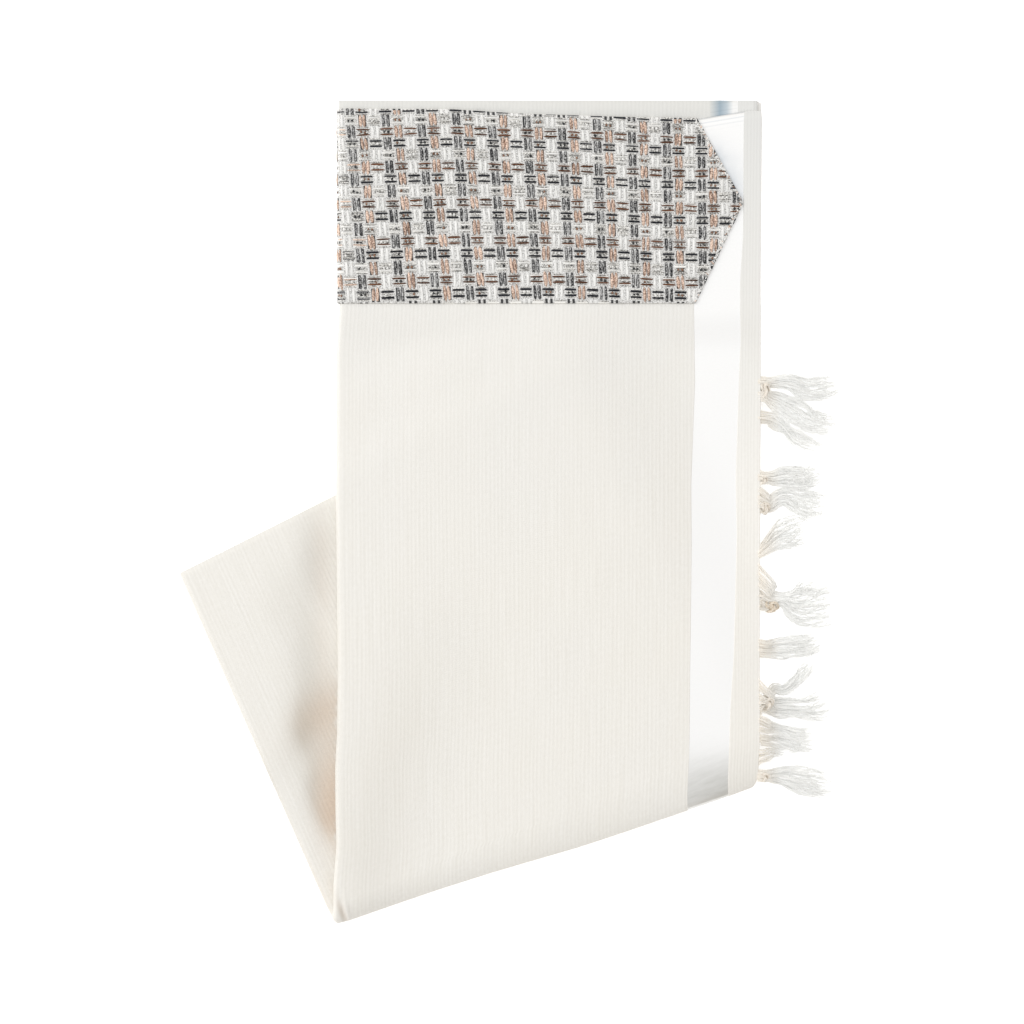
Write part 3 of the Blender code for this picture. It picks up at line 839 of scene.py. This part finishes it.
def buildLayer(layer, acrossList, first=0):
    number, topY, rightInset, endInset = layer

    def layerRow(depth, row):
        here = max(rows[row], alongAt(topY * mm)) if row == 0 else rows[row]
        if row == len(rows) - 1:
            here = 4 - endInset * mm / layers["lowerRun"]
        waver = layers["waver"] * noise.noise(Vector((number * 3.1, runLength[row] * 40, 0)))
        acrosses = acrossList[:-1] + [fold["stripWidth"] - rightInset * mm + waver]
        if row > 1:
            acrosses[0] = layers["foldedEdge"]
        points = [place(across, here, depth) for across in acrosses]
        return points, [(across, runLength[row]) for across in acrosses]

    depths = [number * layers["pitch"] + face for face in layers["faces"]]
    return sheetOf(depths, len(rows), layerRow, first)


def buildHiddenLayers():
    points, faces, uvs = [], [], []
    acrossList = [0.4 * mm] + spaced(10 * mm, 215 * mm, 12) + [220 * mm, 225 * mm]
    for layer in layerTable[1:]:
        for kept, more in zip((points, faces, uvs), buildLayer(layer, acrossList, len(points))):
            kept += more
    return addMesh("hiddenLayers", (points, faces, uvs), [materials["ribbed"]])


def buildSecondLayer():
    acrossList = [0.2 * mm] + spaced(8 * mm, 190 * mm, 16)
    acrossList += [across * mm for across in (197.7, 202, 207, 212.6, 216, 220, 225)]
    sheet = buildLayer(layerTable[0], acrossList)
    kinds = []
    for face in sheet[1]:
        across = sum(sheet[2][v][0] for v in face) / len(face)
        kinds.append(sum(across >= start for start in layers["satinBehind"]))
    mats = [materials["inner"], materials["satinShade"], materials["border"]]
    return addMesh("secondLayer", sheet, mats, kinds)


hiddenLayers = buildHiddenLayers()
secondLayer = buildSecondLayer()
print("inner layers made")

# the collar band
collar = {
    "length": 190.6 * mm,
    "point": 25.1 * mm,
    "bottomY": 110.9 * mm,
    "overhang": 0.6 * mm,
    "tip": 0.457,  # the point's place down the band's height
    "underside": 0.35 * mm,  # above the cloth
    "ground": 1.15 * mm,
    "roughness": 0.12 * mm,
    "arcRadius": 5.2 * mm,
    "firstWarp": 6.6 * mm,
    "warpPitch": 6.30 * mm,
    "warpTighten": 0.0029 * mm,
    "firstWeft": 0.0442,  # shares of the height; the rows are a little closer at the top
    "weftPitch": 0.05862,
    "weftSpread": 0.000417,
    "weftRows": 16,
    "columns": (-2, 36),
    "height": 101 * mm,
    "leanFrom": 0.11,  # the share of the height where a leaning warp keeps its place
    "groundRows": 34,
    "groundColumns": (90, 14, 40),  # on top, round the folded edge, on the underside
    "bare": 0.7 * mm,  # no float comes nearer to the point's edge
}
# how the yarns wander: distance along the band, the warp's lean, and how far the weft hangs
wandering = (
    (0, 0.073, 1.7), (13, 0.079, 1.7), (36, 0.091, 1.0), (58, 0.086, 0.4),
    (80, 0.077, 0.0), (102, 0.066, -0.4), (125, 0.055, -0.2), (147, 0.038, 0.3),
    (169, 0.024, 1.2), (192, 0.021, 1.5), (216, 0.021, 1.7),
)


def collarPoint(q, share, up):  # q runs from the folded edge along the band, negative round the back
    top = readTable(topEdge, 1, min(max(q, 0.0), collar["length"])) + collar["overhang"]
    along = alongAt(mix(top, collar["bottomY"], share))
    if q >= fold["edgeRound"]:
        return place(q, along, -up)
    turn = (fold["edgeRound"] - q) / collar["arcRadius"]
    if turn < math.pi:
        across = fold["edgeRound"] - (fold["edgeRound"] + up) * math.sin(turn)
        return place(across, along, fold["run"] / 2 - (fold["run"] / 2 + up) * math.cos(turn))
    return place(fold["edgeRound"] + (turn - math.pi) * collar["arcRadius"], along, fold["run"] + up)


def bandEnd(share):
    slope = share / collar["tip"] if share < collar["tip"] else (1 - share) / (1 - collar["tip"])
    return collar["length"] + collar["point"] * slope


def weftAt(row, q=None):
    hang = 0.0 if q is None else readTable(wandering, 2, q) / collar["height"]
    return collar["firstWeft"] + collar["weftPitch"] * row + collar["weftSpread"] * row * abs(row) + hang


def rowAt(share, q):
    row = (share - collar["firstWeft"]) / collar["weftPitch"]
    for _ in range(5):
        row += (share - weftAt(row, q)) / (collar["weftPitch"] * 1.1)
    return row


def warpAt(column, share):
    q = collar["firstWarp"] + collar["warpPitch"] * column - collar["warpTighten"] * column * abs(column)
    return q + readTable(wandering, 1, q) / mm * (share - collar["leanFrom"]) * collar["height"]


def columnAt(q, share):
    column = (q - collar["firstWarp"]) / collar["warpPitch"]
    for _ in range(4):
        column += (q - warpAt(column, share)) / collar["warpPitch"]
    return column


def groundRow(up, row):
    share = row / collar["groundRows"]
    end, edge = bandEnd(share), fold["edgeRound"]
    half = math.pi * collar["arcRadius"]
    top, turn, back = collar["groundColumns"]
    stops = spaced(end, edge, top, last=False) + [edge - half * k / turn for k in range(turn)]
    stops += [edge - half - step for step in spaced(0, end - edge, back)]
    points, uvs = [], []
    for q in stops:
        rough = collar["roughness"] * noise.noise(Vector((q * 400, share * 40, 0)))
        points.append(collarPoint(q, share, up + rough if up > collar["underside"] else up))
        uvs.append((columnAt(q, share), rowAt(share, q)))
    return points, uvs


def threadCurves(name, threads, mats):  # each thread: its points, their radii and its material's number
    data = bpy.data.curves.new(name, "CURVE")
    data.dimensions = "3D"
    data.bevel_depth = 1.0
    data.bevel_resolution = 0
    data.use_fill_caps = True
    data.resolution_u = 1
    for mat in mats:
        data.materials.append(mat)
    for path, radii, kind in threads:
        spline = data.splines.new("POLY")
        spline.points.add(len(path) - 1)
        for point, spot, radius in zip(spline.points, path, radii):
            point.co = (*spot, 1)
            point.radius = radius
        spline.material_index = kind
    piece = bpy.data.objects.new(name, data)
    scene.collection.objects.link(piece)
    bpy.ops.object.select_all(action="DESELECT")
    piece.select_set(True)
    bpy.context.view_layer.objects.active = piece
    bpy.ops.object.convert(target="MESH")
    piece.data.shade_smooth()
    return piece


yarns = {
    "pairOffset": 1.08 * mm,  # half the distance between the two yarns of a warp pair
    "twist": 0.42 * math.pi,
    "crown": 0.65 * mm,  # height of a float's middle above its ends
    "seat": 0.8 * mm,
    "ivoryApart": 0.30 * mm,  # the ivory pair stands wider
    "lineOffset": 1.42 * mm,
    "lineRadius": 0.36 * mm,
    "lineCrown": 0.55 * mm,
    "lineSeat": 1.05 * mm,
    "groundSink": 0.25 * mm,
    "topSeat": 1.55 * mm,  # height of the peeping warp and of the edge's loops
    "peepRadius": 0.62 * mm,
    "peepLength": 0.55 * mm,
    "peepsMissing": 0.2,
    "loops": 110,  # yarn ends in each half of the band's edge
    "loopRadius": 0.3 * mm,
    "steps": 8,
}
# the warp's yarns: tone, radius and offset of each ply, in mm; the first is the yarn's middle
warpPlies = (
    (("slate", 0.78, 0.0), ("charcoal", 0.28, 0.66), ("slate", 0.26, 0.60), ("charcoal", 0.20, 0.52)),
    (("rose", 0.94, 0.0), ("copper", 0.24, 0.72), ("rose", 0.36, 0.58), ("copper", 0.19, 0.64)),
    (("ivory", 0.62, 0.0), ("ivory", 0.36, 0.42), ("ivory", 0.34, 0.42)),
)
weftSlimness = {"navy": 0.67, "brown": 1.16}
yarnTones = ("charcoal", "slate", "copper", "rose", "ivory", "silver", "brown", "navy")


def hump(t, power=0.7):  # 1 in a float's middle and 0 at its ends, where t is -1 and 1
    return math.cos(t * math.pi / 2) ** power


def addFloat(strands, tone, spot, lift, radius):  # a float is kept only where it lies on the band
    path, radii = [], []
    for t in [step / yarns["steps"] * 2 - 1 for step in range(yarns["steps"] + 1)]:
        q, share = spot(t)
        if q < bandEnd(min(max(share, 0.0), 1.0)) - collar["bare"] and -0.001 < share < 0.997:
            flatter = mix(0.4, 1.0, smooth((q + 5 * mm) / (9 * mm)))  # round the folded edge
            path.append(collarPoint(q, share, lift(t) * flatter))
            radii.append(radius(t))
    if len(path) > 3:
        strands.append((path, radii, yarnTones.index(tone)))


def addWarpYarn(strands, row, column, pair, middle, lean, chance):
    long = 0.55 + chance.uniform(-0.07, 0.08)
    fat = chance.uniform(0.82, 1.12)
    drift = chance.uniform(-0.22, 0.22) * mm
    start = chance.choice((0, math.pi)) + chance.uniform(-0.9, 0.9)
    twist = yarns["twist"] * chance.uniform(0.4, 2.0)
    pitch = weftAt(row + 1) - weftAt(row)
    plies = warpPlies[column % 3]
    for ply, (tone, plyRadius, plyOffset) in enumerate(plies):
        phase = start + 2 * math.pi * ply / (len(plies) - 1)
        apart = yarns["pairOffset"] + (yarns["ivoryApart"] if tone == "ivory" else 0.0)

        def spot(t):
            share = middle + pitch * long * t
            turn = plyOffset * mm * math.cos(phase + pair * twist * t) * (0.5 + 0.5 * hump(t))
            bow = pair * apart * (0.9 + 0.1 * fat) + drift + lean * t + turn * fat
            return warpAt(column, share) + bow, share

        def lift(t):
            turn = max(-0.1, math.sin(phase + pair * twist * t)) * plyOffset * mm * 0.7
            return yarns["seat"] + yarns["crown"] * hump(t) + turn

        def radius(t):
            return plyRadius * mm * fat * (0.5 + 0.5 * hump(t))

        addFloat(strands, tone, spot, lift, radius)


def warpFloats(chance):
    strands = []
    for row in range(-1, collar["weftRows"]):
        for column in range(*collar["columns"]):
            if (row + column) % 2:
                middle = weftAt(row, warpAt(column, weftAt(row)))
                lean = chance.uniform(-0.3, 0.4) * mm
                for pair in (-1, 1):
                    addWarpYarn(strands, row, column, pair, middle, lean, chance)
    return strands


def addWeftYarn(strands, row, column, offset, tone, fat, chance):
    fat *= chance.uniform(0.8, 1.2)
    drift = chance.uniform(-0.16, 0.16) * mm
    tilt = chance.uniform(-0.16, 0.16) * mm
    ground = tone == "ground"
    if ground:
        tone = "silver"
    elif tone == "silver":
        tone = chance.choice(("silver", "ivory"))
    if column <= 0 and not ground:  # paler beside the folded edge
        tone = {"brown": "rose", "navy": chance.choice(("slate", "silver"))}.get(tone, "ivory")
    seed = row * 5 + offset * 3
    thick = yarns["lineRadius"] * fat * weftSlimness.get(tone, 1.0)

    def spot(t):
        near = 0.3 * mm * noise.noise(Vector((column + t * 3, seed, 7))) if ground else tilt * t
        q = warpAt(column + t * 0.56, weftAt(row))
        share = weftAt(row, q) + (offset * yarns["lineOffset"] + drift + near) / collar["height"]
        return warpAt(column + t * 0.56, share), share

    def lift(t):
        sink = yarns["groundSink"] if ground else 0.0
        return yarns["lineSeat"] + yarns["lineCrown"] * hump(t, 0.5) - sink

    def radius(t):
        return thick * (0.6 + 0.4 * hump(t, 0.3))

    addFloat(strands, tone, spot, lift, radius)


def addPeep(strands, row, column, pair, chance):  # the warp peeps through between the two lines
    q = warpAt(column, weftAt(row)) + pair * yarns["pairOffset"] * chance.uniform(0.8, 1.05)
    shift = chance.uniform(-0.3, 0.3) * mm
    size = chance.uniform(0.8, 1.2)

    def spot(t):
        down = shift + yarns["peepLength"] * size * t
        return q + 0.1 * mm * t, weftAt(row, q) + down / collar["height"]

    def lift(t):
        return yarns["topSeat"] - 0.3 * mm * t * t

    def radius(t):
        return yarns["peepRadius"] * size * (1 - 0.5 * t * t)

    addFloat(strands, warpTones[column % 3], spot, lift, radius)


def weftFloats(chance):
    strands = []
    for row in range(-1, collar["weftRows"]):
        for column in range(*collar["columns"]):
            if (row + column) % 2 == 0:
                for offset in (-1.0, 1.0):
                    addWeftYarn(strands, row, column, offset, weftTones[row % 3], 1.0, chance)
                for offset in (-1.75, -0.5, 0.0, 0.5, 1.75):
                    addWeftYarn(strands, row, column, offset, "ground", 0.85, chance)
                for pair in (-1, 1):
                    if chance.random() >= yarns["peepsMissing"]:
                        addPeep(strands, row, column, pair, chance)
    return strands


def edgeLoops(chance):  # yarn ends caught in the point's turned edge
    strands = []
    for low, high in [(0.02, 0.45)] * yarns["loops"] + [(0.46, 0.99)] * yarns["loops"]:
        share = chance.uniform(low, high)
        q = bandEnd(share) - chance.uniform(0.1, 1.5) * mm
        tone = chance.choice(("ivory", "silver", "ivory", "slate", "ivory", "rose", "ivory"))
        along = (chance.uniform(0.5, 1.4) if chance.random() < 0.5 else -chance.uniform(0.5, 1.4)) * mm
        fall = chance.uniform(-0.9, 0.9) * mm
        path = []
        for t in [step / 5 * 2 - 1 for step in range(6)]:
            edge = min(q + along * t * 0.6, bandEnd(share) - 0.2 * mm)
            here = min(max(share + fall * t / collar["height"], 0.0), 1.0)
            path.append(collarPoint(edge, here, yarns["topSeat"] - 0.5 * mm * t * t))
        strands.append((path, [yarns["loopRadius"]] * 6, yarnTones.index(tone)))
    return strands


chance = random.Random(36)
ground = sheetOf((collar["ground"], collar["underside"]), collar["groundRows"] + 1, groundRow)
collarBand = addMesh("collarBand", ground, [materials["tweed"]])
yarnMats = [materials[tone] for tone in yarnTones]
warpYarns = threadCurves("collarWarp", warpFloats(chance), yarnMats)
weftYarns = threadCurves("collarWeft", weftFloats(chance) + edgeLoops(chance), yarnMats)
print("collar band made:", len(warpYarns.data.polygons), len(weftYarns.data.polygons))

# the fringe
# each lock's number of threads, and its middle line and half width from the hem to its end, in mm
locks = {
    "01": (60, (
        (130.6, 69.5, 2.1), (135.9, 69.0, 2.4), (140.1, 69.3, 2.7), (147.5, 68.7, 3.7), (152.8, 66.9, 4.8),
        (157.1, 65.3, 5.2), (163.5, 65.8, 5.3), (169.3, 66.3, 4.5), (174.6, 67.4, 2.4),
    )),
    "02": (64, (
        (130.6, 61.6, 2.1), (135.3, 61.6, 2.7), (140.1, 59.4, 4.5), (144.4, 56.8, 5.6), (148.6, 54.4, 6.1),
        (152.8, 52.3, 6.1), (157.1, 49.4, 5.6), (162.4, 47.8, 5.0), (168.8, 46.7, 4.0), (176.7, 45.6, 1.9),
    )),
    "03": (26, (
        (130.6, 50.4, 3.2), (135.9, 49.9, 2.9), (140.1, 48.8, 3.2), (144.4, 45.6, 2.7), (148.1, 41.4, 2.4),
        (152.3, 37.7, 2.7), (158.1, 35.6, 2.9), (165.0, 33.4, 1.6),
    )),
    "03 stray": (7, (
        (136.9, 46.7, 1.1), (141.2, 43.5, 0.8), (148.6, 43.5, 1.3), (157.1, 39.8, 1.1), (161.9, 36.6, 0.8),
        (167.2, 38.2, 0.5),
    )),
    "04": (54, (
        (130.6, 18.0, 4.2), (134.8, 18.0, 2.7), (139.6, 18.0, 3.4), (144.9, 18.8, 5.0), (150.2, 18.8, 5.3),
        (155.0, 18.3, 5.0), (159.7, 19.4, 4.5), (165.0, 21.2, 2.9),
    )),
    "05": (72, (
        (130.6, 6.4, 6.9), (133.7, 4.8, 5.3), (137.5, 3.7, 3.4), (140.6, 6.4, 3.7), (144.9, 8.0, 4.2),
        (149.1, 6.9, 5.6), (153.4, 5.3, 6.6), (158.1, 4.2, 7.4), (163.5, 3.7, 7.4), (169.3, 3.7, 5.8),
    )),
    "06": (54, (
        (130.6, -22.3, 2.4), (135.3, -18.6, 3.2), (140.1, -14.9, 5.0), (144.4, -12.5, 6.6),
        (148.6, -10.6, 7.2), (152.8, -9.8, 6.9), (158.1, -9.3, 5.3),
    )),
    "07": (96, (
        (130.6, -42.5, 14.3), (133.7, -44.0, 9.0), (136.9, -46.7, 5.3), (141.2, -46.7, 3.2),
        (144.9, -47.0, 3.7), (148.6, -48.3, 7.4), (152.8, -48.8, 9.8), (157.1, -48.8, 10.3),
        (161.9, -48.3, 9.6), (167.2, -46.4, 8.0), (173.5, -45.6, 5.3),
    )),
    "08": (56, (
        (130.6, -72.2, 4.5), (135.3, -73.0, 4.0), (140.1, -72.7, 4.8), (145.4, -72.2, 5.0),
        (150.7, -71.6, 5.0), (156.0, -71.1, 5.0), (160.3, -70.1, 4.2), (164.5, -68.2, 2.1),
    )),
    "09": (66, (
        (130.6, -99.8, 10.6), (134.3, -100.8, 5.8), (138.0, -103.0, 4.5), (142.2, -103.8, 5.0),
        (147.5, -104.0, 4.9), (152.8, -104.5, 4.4), (158.7, -104.5, 3.9), (164.0, -103.5, 3.7),
        (169.3, -101.4, 1.9),
    )),
    "09 upper": (26, (
        (135.9, -98.2, 1.6), (139.6, -93.9, 2.4), (143.8, -94.5, 2.4), (147.5, -92.9, 2.4),
        (151.2, -89.2, 2.9), (154.4, -85.4, 3.2), (157.6, -82.3, 2.7), (161.3, -79.1, 1.3),
    )),
    "10": (60, (
        (130.6, -114.6, 6.9), (135.9, -116.2, 5.3), (140.6, -116.8, 4.1), (145.9, -118.3, 4.5),
        (151.2, -119.9, 5.0), (156.0, -121.0, 4.5), (160.3, -120.5, 2.7),
    )),
    "10 curl": (14, (
        (131.6, -121.5, 1.6), (136.9, -122.6, 1.9), (142.2, -123.9, 1.9), (146.5, -125.2, 1.6),
        (150.2, -126.8, 1.1), (152.3, -125.8, 0.8), (151.2, -122.1, 0.8), (148.1, -119.9, 0.8),
    )),
    "11": (20, (
        (130.6, -130.0, 4.2), (135.3, -129.0, 3.2), (140.1, -127.4, 1.9), (145.9, -126.3, 0.8),
    )),
    "12": (72, (
        (130.0, -139.6, 2.7), (133.7, -140.1, 2.7), (136.9, -140.1, 2.7), (140.6, -140.4, 3.7),
        (145.4, -140.9, 5.0), (150.7, -142.2, 5.9), (156.6, -143.3, 6.4), (161.9, -144.4, 6.1),
        (166.6, -145.1, 5.3), (170.9, -145.4, 3.7),
    )),
}
# gathering knots: tassel, x, y, half size along and across the hem, in mm
knots = (
    ("02", 134.3, 65.4, 2.4, 4.2),
    ("04", 134.0, 17.3, 1.6, 2.2),
    ("05", 134.6, 2.4, 2.2, 3.4),
    ("07", 138.0, -50.0, 3.6, 3.2),
    ("09", 135.4, -101.2, 3.2, 3.8),
    ("12", 133.4, -140.2, 2.8, 2.4),
)
fringe = {
    "hemX": 130.6,  # in mm, as in the two tables
    "threadRadius": 0.20 * mm,
    "tipRadius": 0.10 * mm,
    "knotThread": 0.34 * mm,
    "knotTurns": 9,
    "knotHeight": 2.3,
    "knotHeart": 0.86,  # a filled heart, so the knot isn't hollow between its turns
    "fullness": 1.85,  # threads for each one counted in the locks
    "threadsInClump": 4,
    "clumpRadius": 0.55 * mm,
    "steps": 20,
    "flare": 0.75,  # how far the cut ends keep the lock's full width
    "spread": 1.14,
    "shortThreads": 0.08,
    "strayThreads": 0.16,
    "wisps": 0.34,  # loose fine threads for each one counted in the locks
    "wispRadius": 0.10 * mm,
    "lowest": 0.5 * mm,  # above the floor
    "settled": 2.6 * mm,  # height of a lock's middle once it lies down
    "settledAt": 9,  # mm from the hem
}


def hemHeight(y):
    low, high = 0.0, 2.5
    for _ in range(30):
        middle = (low + high) / 2
        if place(fold["stripWidth"], middle, 0.7 * mm).y > y:
            low = middle
        else:
            high = middle
    return place(fold["stripWidth"], low, 0.7 * mm).z


def lockHeight(x, y):
    fallen = smooth((x - fringe["hemX"]) / fringe["settledAt"])
    return mix(hemHeight(y * mm), fringe["settled"], fallen)


def alongStations(stations, t):  # a smooth line through the stations, t from 0 to 1
    reach = t * (len(stations) - 1)
    first = min(int(reach), len(stations) - 2)
    share = reach - first
    before = stations[max(first - 1, 0)]
    after = stations[min(first + 2, len(stations) - 1)]
    values = []
    for a, b, c, d in zip(before, stations[first], stations[first + 1], after):
        curve = (2 * a - 5 * b + 4 * c - d) * share**2 + (3 * b - a - 3 * c + d) * share**3
        values.append(0.5 * (2 * b + (c - a) * share + curve))
    return values


def lockAt(stations, t):  # a lock's middle line, its half width and its way across
    x, y, half = alongStations(stations, t)
    ahead = alongStations(stations, min(t + 0.03, 1.0))
    behind = alongStations(stations, max(t - 0.03, 0.0))
    way = Vector((ahead[0] - behind[0], ahead[1] - behind[1])).normalized()
    # it leaves the hem squarely
    way = mix(Vector((1.0, 0.0)), way, smooth((x - fringe["hemX"]) / 5)).normalized()
    return x, y, half, leftOf(way)


def onFloor(x, y, side, out, height):
    spot = Vector((x, y)) * mm + side * out
    return Vector((spot.x, spot.y, max(height, fringe["lowest"])))


def lockThreads(stations, count, chance):
    threads = []
    clumps = max(3, round(count * fringe["fullness"] / fringe["threadsInClump"]))
    widest = max(station[2] for station in stations)
    for clump in range(clumps):
        share = (clump + 0.5) / clumps * 2 - 1 + chance.uniform(-0.12, 0.12)
        share = max(-0.95, min(0.95, share))
        level = chance.uniform(-1, 1)
        seed = chance.uniform(0, 100)
        turns = chance.uniform(-2.2, 2.2) * math.pi
        wander = chance.uniform(0.16, 0.38)
        clumpEnd = chance.uniform(0.84, 1.0) - 0.05 * share * share
        for _ in range(fringe["threadsInClump"]):
            angle = chance.uniform(0, 2 * math.pi)
            loose = chance.uniform(0.3, 1.0) * fringe["clumpRadius"]
            end = min(1.0, clumpEnd + chance.uniform(-0.07, 0.05))
            if chance.random() < fringe["shortThreads"]:
                end = chance.uniform(0.55, 0.8)
            stray = chance.gauss(0, 1) * (3.2 if chance.random() < fringe["strayThreads"] else 1.0) * mm
            crimp = chance.uniform(0.1, 0.3) * mm
            start = chance.uniform(0, 9)
            rise = chance.uniform(-0.5, 1.0) * mm
            path, radii = [], []
            for step in range(fringe["steps"] + 1):
                t = step / fringe["steps"] * end
                x, y, half, side = lockAt(stations, t)
                half = mix(half, max(half, 0.85 * widest), smooth((t - 0.6) / 0.35) * fringe["flare"])
                drift = share + wander * noise.noise(Vector((t * 4, seed, 0))) * smooth(t * 4)
                out = half * mm * drift * fringe["spread"] + loose * math.cos(angle + turns * t)
                out += stray * smooth((t - 0.66 * end) / (0.34 * end)) ** 2
                out += crimp * math.sin(start + t * 16) * smooth(t * 3)
                thick = min(1.3 * mm, half * mm * 0.6) * math.sqrt(max(0.0, 1 - drift * drift))
                thick *= mix(1.0, 0.7, t)
                height = lockHeight(x, y) + (thick * level + loose * math.sin(angle + turns * t))
                height += rise * smooth((t - 0.75) / 0.25)
                path.append(onFloor(x, y, side, out, height))
                radii.append(mix(fringe["threadRadius"], fringe["tipRadius"], (t / end) ** 3))
            threads.append((path, radii, 0))
    for _ in range(round(count * fringe["wisps"])):
        threads.append(looseThread(stations, widest, chance))
    return threads


def looseThread(stations, widest, chance):  # a fine wavy thread that leaves the lock's side
    beside = chance.choice((-1, 1)) * chance.uniform(0.55, 1.0)
    leave = chance.uniform(0.1, 0.6)
    away = chance.uniform(0.1, 0.55)
    end = chance.uniform(0.7, 1.0)
    start, waves = chance.uniform(0, 9), chance.uniform(6, 15)
    wave = chance.uniform(0.2, 0.6) * mm
    level = chance.uniform(-0.6, 1.0) * mm
    steps = fringe["steps"] + 4
    path = []
    for step in range(steps + 1):
        t = step / steps * end
        x, y, half, side = lockAt(stations, t)
        half = mix(half, max(half, 0.7 * widest), smooth((t - 0.5) / 0.4))
        out = half * mm * beside * mix(0.85, 1 + away, smooth((t - leave) / 0.4))
        out += wave * math.sin(start + waves * t) * smooth(t * 3)
        path.append(onFloor(x, y, side, out, lockHeight(x, y) + level * smooth(t * 2)))
    return path, [fringe["wispRadius"]] * len(path), 0


def knotThreads(x, y, halfAlong, halfAcross, chance):
    middle = Vector((x * mm, y * mm, lockHeight(x, y) + 0.5 * mm))
    size = Vector((halfAlong, halfAcross, fringe["knotHeight"])) * mm
    threads = []
    for _ in range(fringe["knotTurns"]):
        drift = Vector((chance.uniform(-1, 1), chance.uniform(-1, 1), chance.uniform(-1, 1))) * 0.16
        tilt = chance.uniform(-0.25, 0.25)
        path = []
        for t in [2 * math.pi * step / 44 for step in range(45)]:
            ring = 2 + math.cos(3 * t)
            across, along = ring * math.cos(2 * t + tilt) * 0.33, ring * math.sin(2 * t) * 0.33
            path.append(middle + (Vector((across, along, math.sin(3 * t) * 0.75)) + drift) * size)
        threads.append((path, [fringe["knotThread"]] * len(path), 1))
    shares = [step / 6 - 1 for step in range(13)]
    heart = [middle + Vector((0, share * size.y * 0.8, 0)) for share in shares]
    girth = fringe["knotHeart"] * min(size.x, size.z)
    threads.append((heart, [girth * math.sqrt(max(0.02, 1 - share * share)) for share in shares], 1))
    return threads


def buildTassel(name):
    chance = random.Random("tassel " + name)
    threads = []
    for lockName, (count, stations) in locks.items():
        if lockName.startswith(name):
            threads += lockThreads(stations, count, chance)
    for knotName, *knot in knots:
        if knotName == name:
            threads += knotThreads(*knot, chance)
    knotMat = materials["darkKnot" if name == "07" else "knot"]
    return threadCurves("tassel" + name, threads, [materials["thread"], knotMat])


tasselNames = [f"{number:02d}" for number in range(1, 13)]
tassels = [buildTassel(name) for name in tasselNames]
print("tassels made:", len(tassels))

# floor, light and camera
studio = {
    "frameWidth": 543.4 * mm,  # what the camera takes in, at the cloth's top
    "lens": 135,
    "sensor": 36,
    "clothTop": 7.5 * mm,
    "floorSize": 8.0,
    "floorColour": (0.97, 0.97, 0.97, 1),
    "floorGlow": 0.42,  # keeps the floor white up to the cloth
    "keyPower": 24,
    "keySize": 1.6,
    "keyPlace": (-1.9, 0.9, 2.1),
    "worldStrength": 0.957,
    "horizon": (0.86, 0.78, 0.68),  # warm near the floor
    "zenith": (1.0, 1.0, 1.0),
    "darkSide": (0.55, -0.83, 0.0),  # the room is dimmer that way
    "dimColour": (0.22, 0.20, 0.18),
    "dimming": 0.476,
}

bpy.ops.mesh.primitive_plane_add(size=studio["floorSize"], location=(0, 0, -0.5 * mm))
floor = bpy.context.object
floor.name = "floor"
floorLook = {
    "Base Color": studio["floorColour"],
    "Roughness": 0.9,
    "Specular IOR Level": 0.1,
    "Emission Color": (1, 1, 1, 1),
    "Emission Strength": studio["floorGlow"],
}
floor.data.materials.append(newMaterial("paleFloor", floorLook)[0])

bpy.ops.object.light_add(type="AREA", location=studio["keyPlace"])
key = bpy.context.object
key.name = "keyLight"
key.data.shape = "DISK"
key.data.size = studio["keySize"]
key.data.energy = studio["keyPower"]
key.rotation_euler = (-key.location).to_track_quat("-Z", "Y").to_euler()

world = bpy.data.worlds.new("studio")
scene.world = world
world.use_nodes = True
sky = world.node_tree.nodes["Background"]
sky.inputs["Strength"].default_value = studio["worldStrength"]
way = addNode(world.node_tree, "ShaderNodeTexCoord").outputs["Generated"]
split = addNode(world.node_tree, "ShaderNodeSeparateXYZ")
link(way, split.inputs[0])
skyColour = rampOf(split.outputs[2], (0, studio["horizon"]), (0.7, studio["zenith"]))
dot = addNode(world.node_tree, "ShaderNodeVectorMath", {1: studio["darkSide"]}, operation="DOT_PRODUCT")
link(way, dot.inputs[0])
dimmed = times(calc("MAXIMUM", dot.outputs["Value"], 0.0), studio["dimming"], clamp=True)
link(blend(dimmed, skyColour, studio["dimColour"]), sky.inputs["Color"])

cameraHeight = studio["clothTop"] + studio["frameWidth"] * studio["lens"] / studio["sensor"]
bpy.ops.object.camera_add(location=(0, 0, cameraHeight), rotation=(0, 0, 0))
camera = bpy.context.object
camera.name = "camera"
camera.data.lens = studio["lens"]
camera.data.sensor_width = studio["sensor"]
camera.data.clip_end = 50
scene.camera = camera
print("studio ready")

# what stands for what: the piece, the node and the finish
standIns = [(tassel, "tassel_" + name, "fringe_thread") for tassel, name in zip(tassels, tasselNames)]
standIns += [
    (bodyCloth, "body_cloth", "ribbed_cloth"),
    (satinStripe, "satin_stripe", "satin"),
    (endBorder, "end_border", "border_cloth"),
    (hiddenLayers, "hidden_layers", "ribbed_cloth"),
    (secondLayer, "hidden_layers", "ribbed_cloth"),
    (collarBand, "atara", "tweed"),
    (warpYarns, "atara", "tweed"),
    (weftYarns, "atara", "tweed"),
]
for piece, node, slot in standIns:
    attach(piece, "root")
    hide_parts(node)
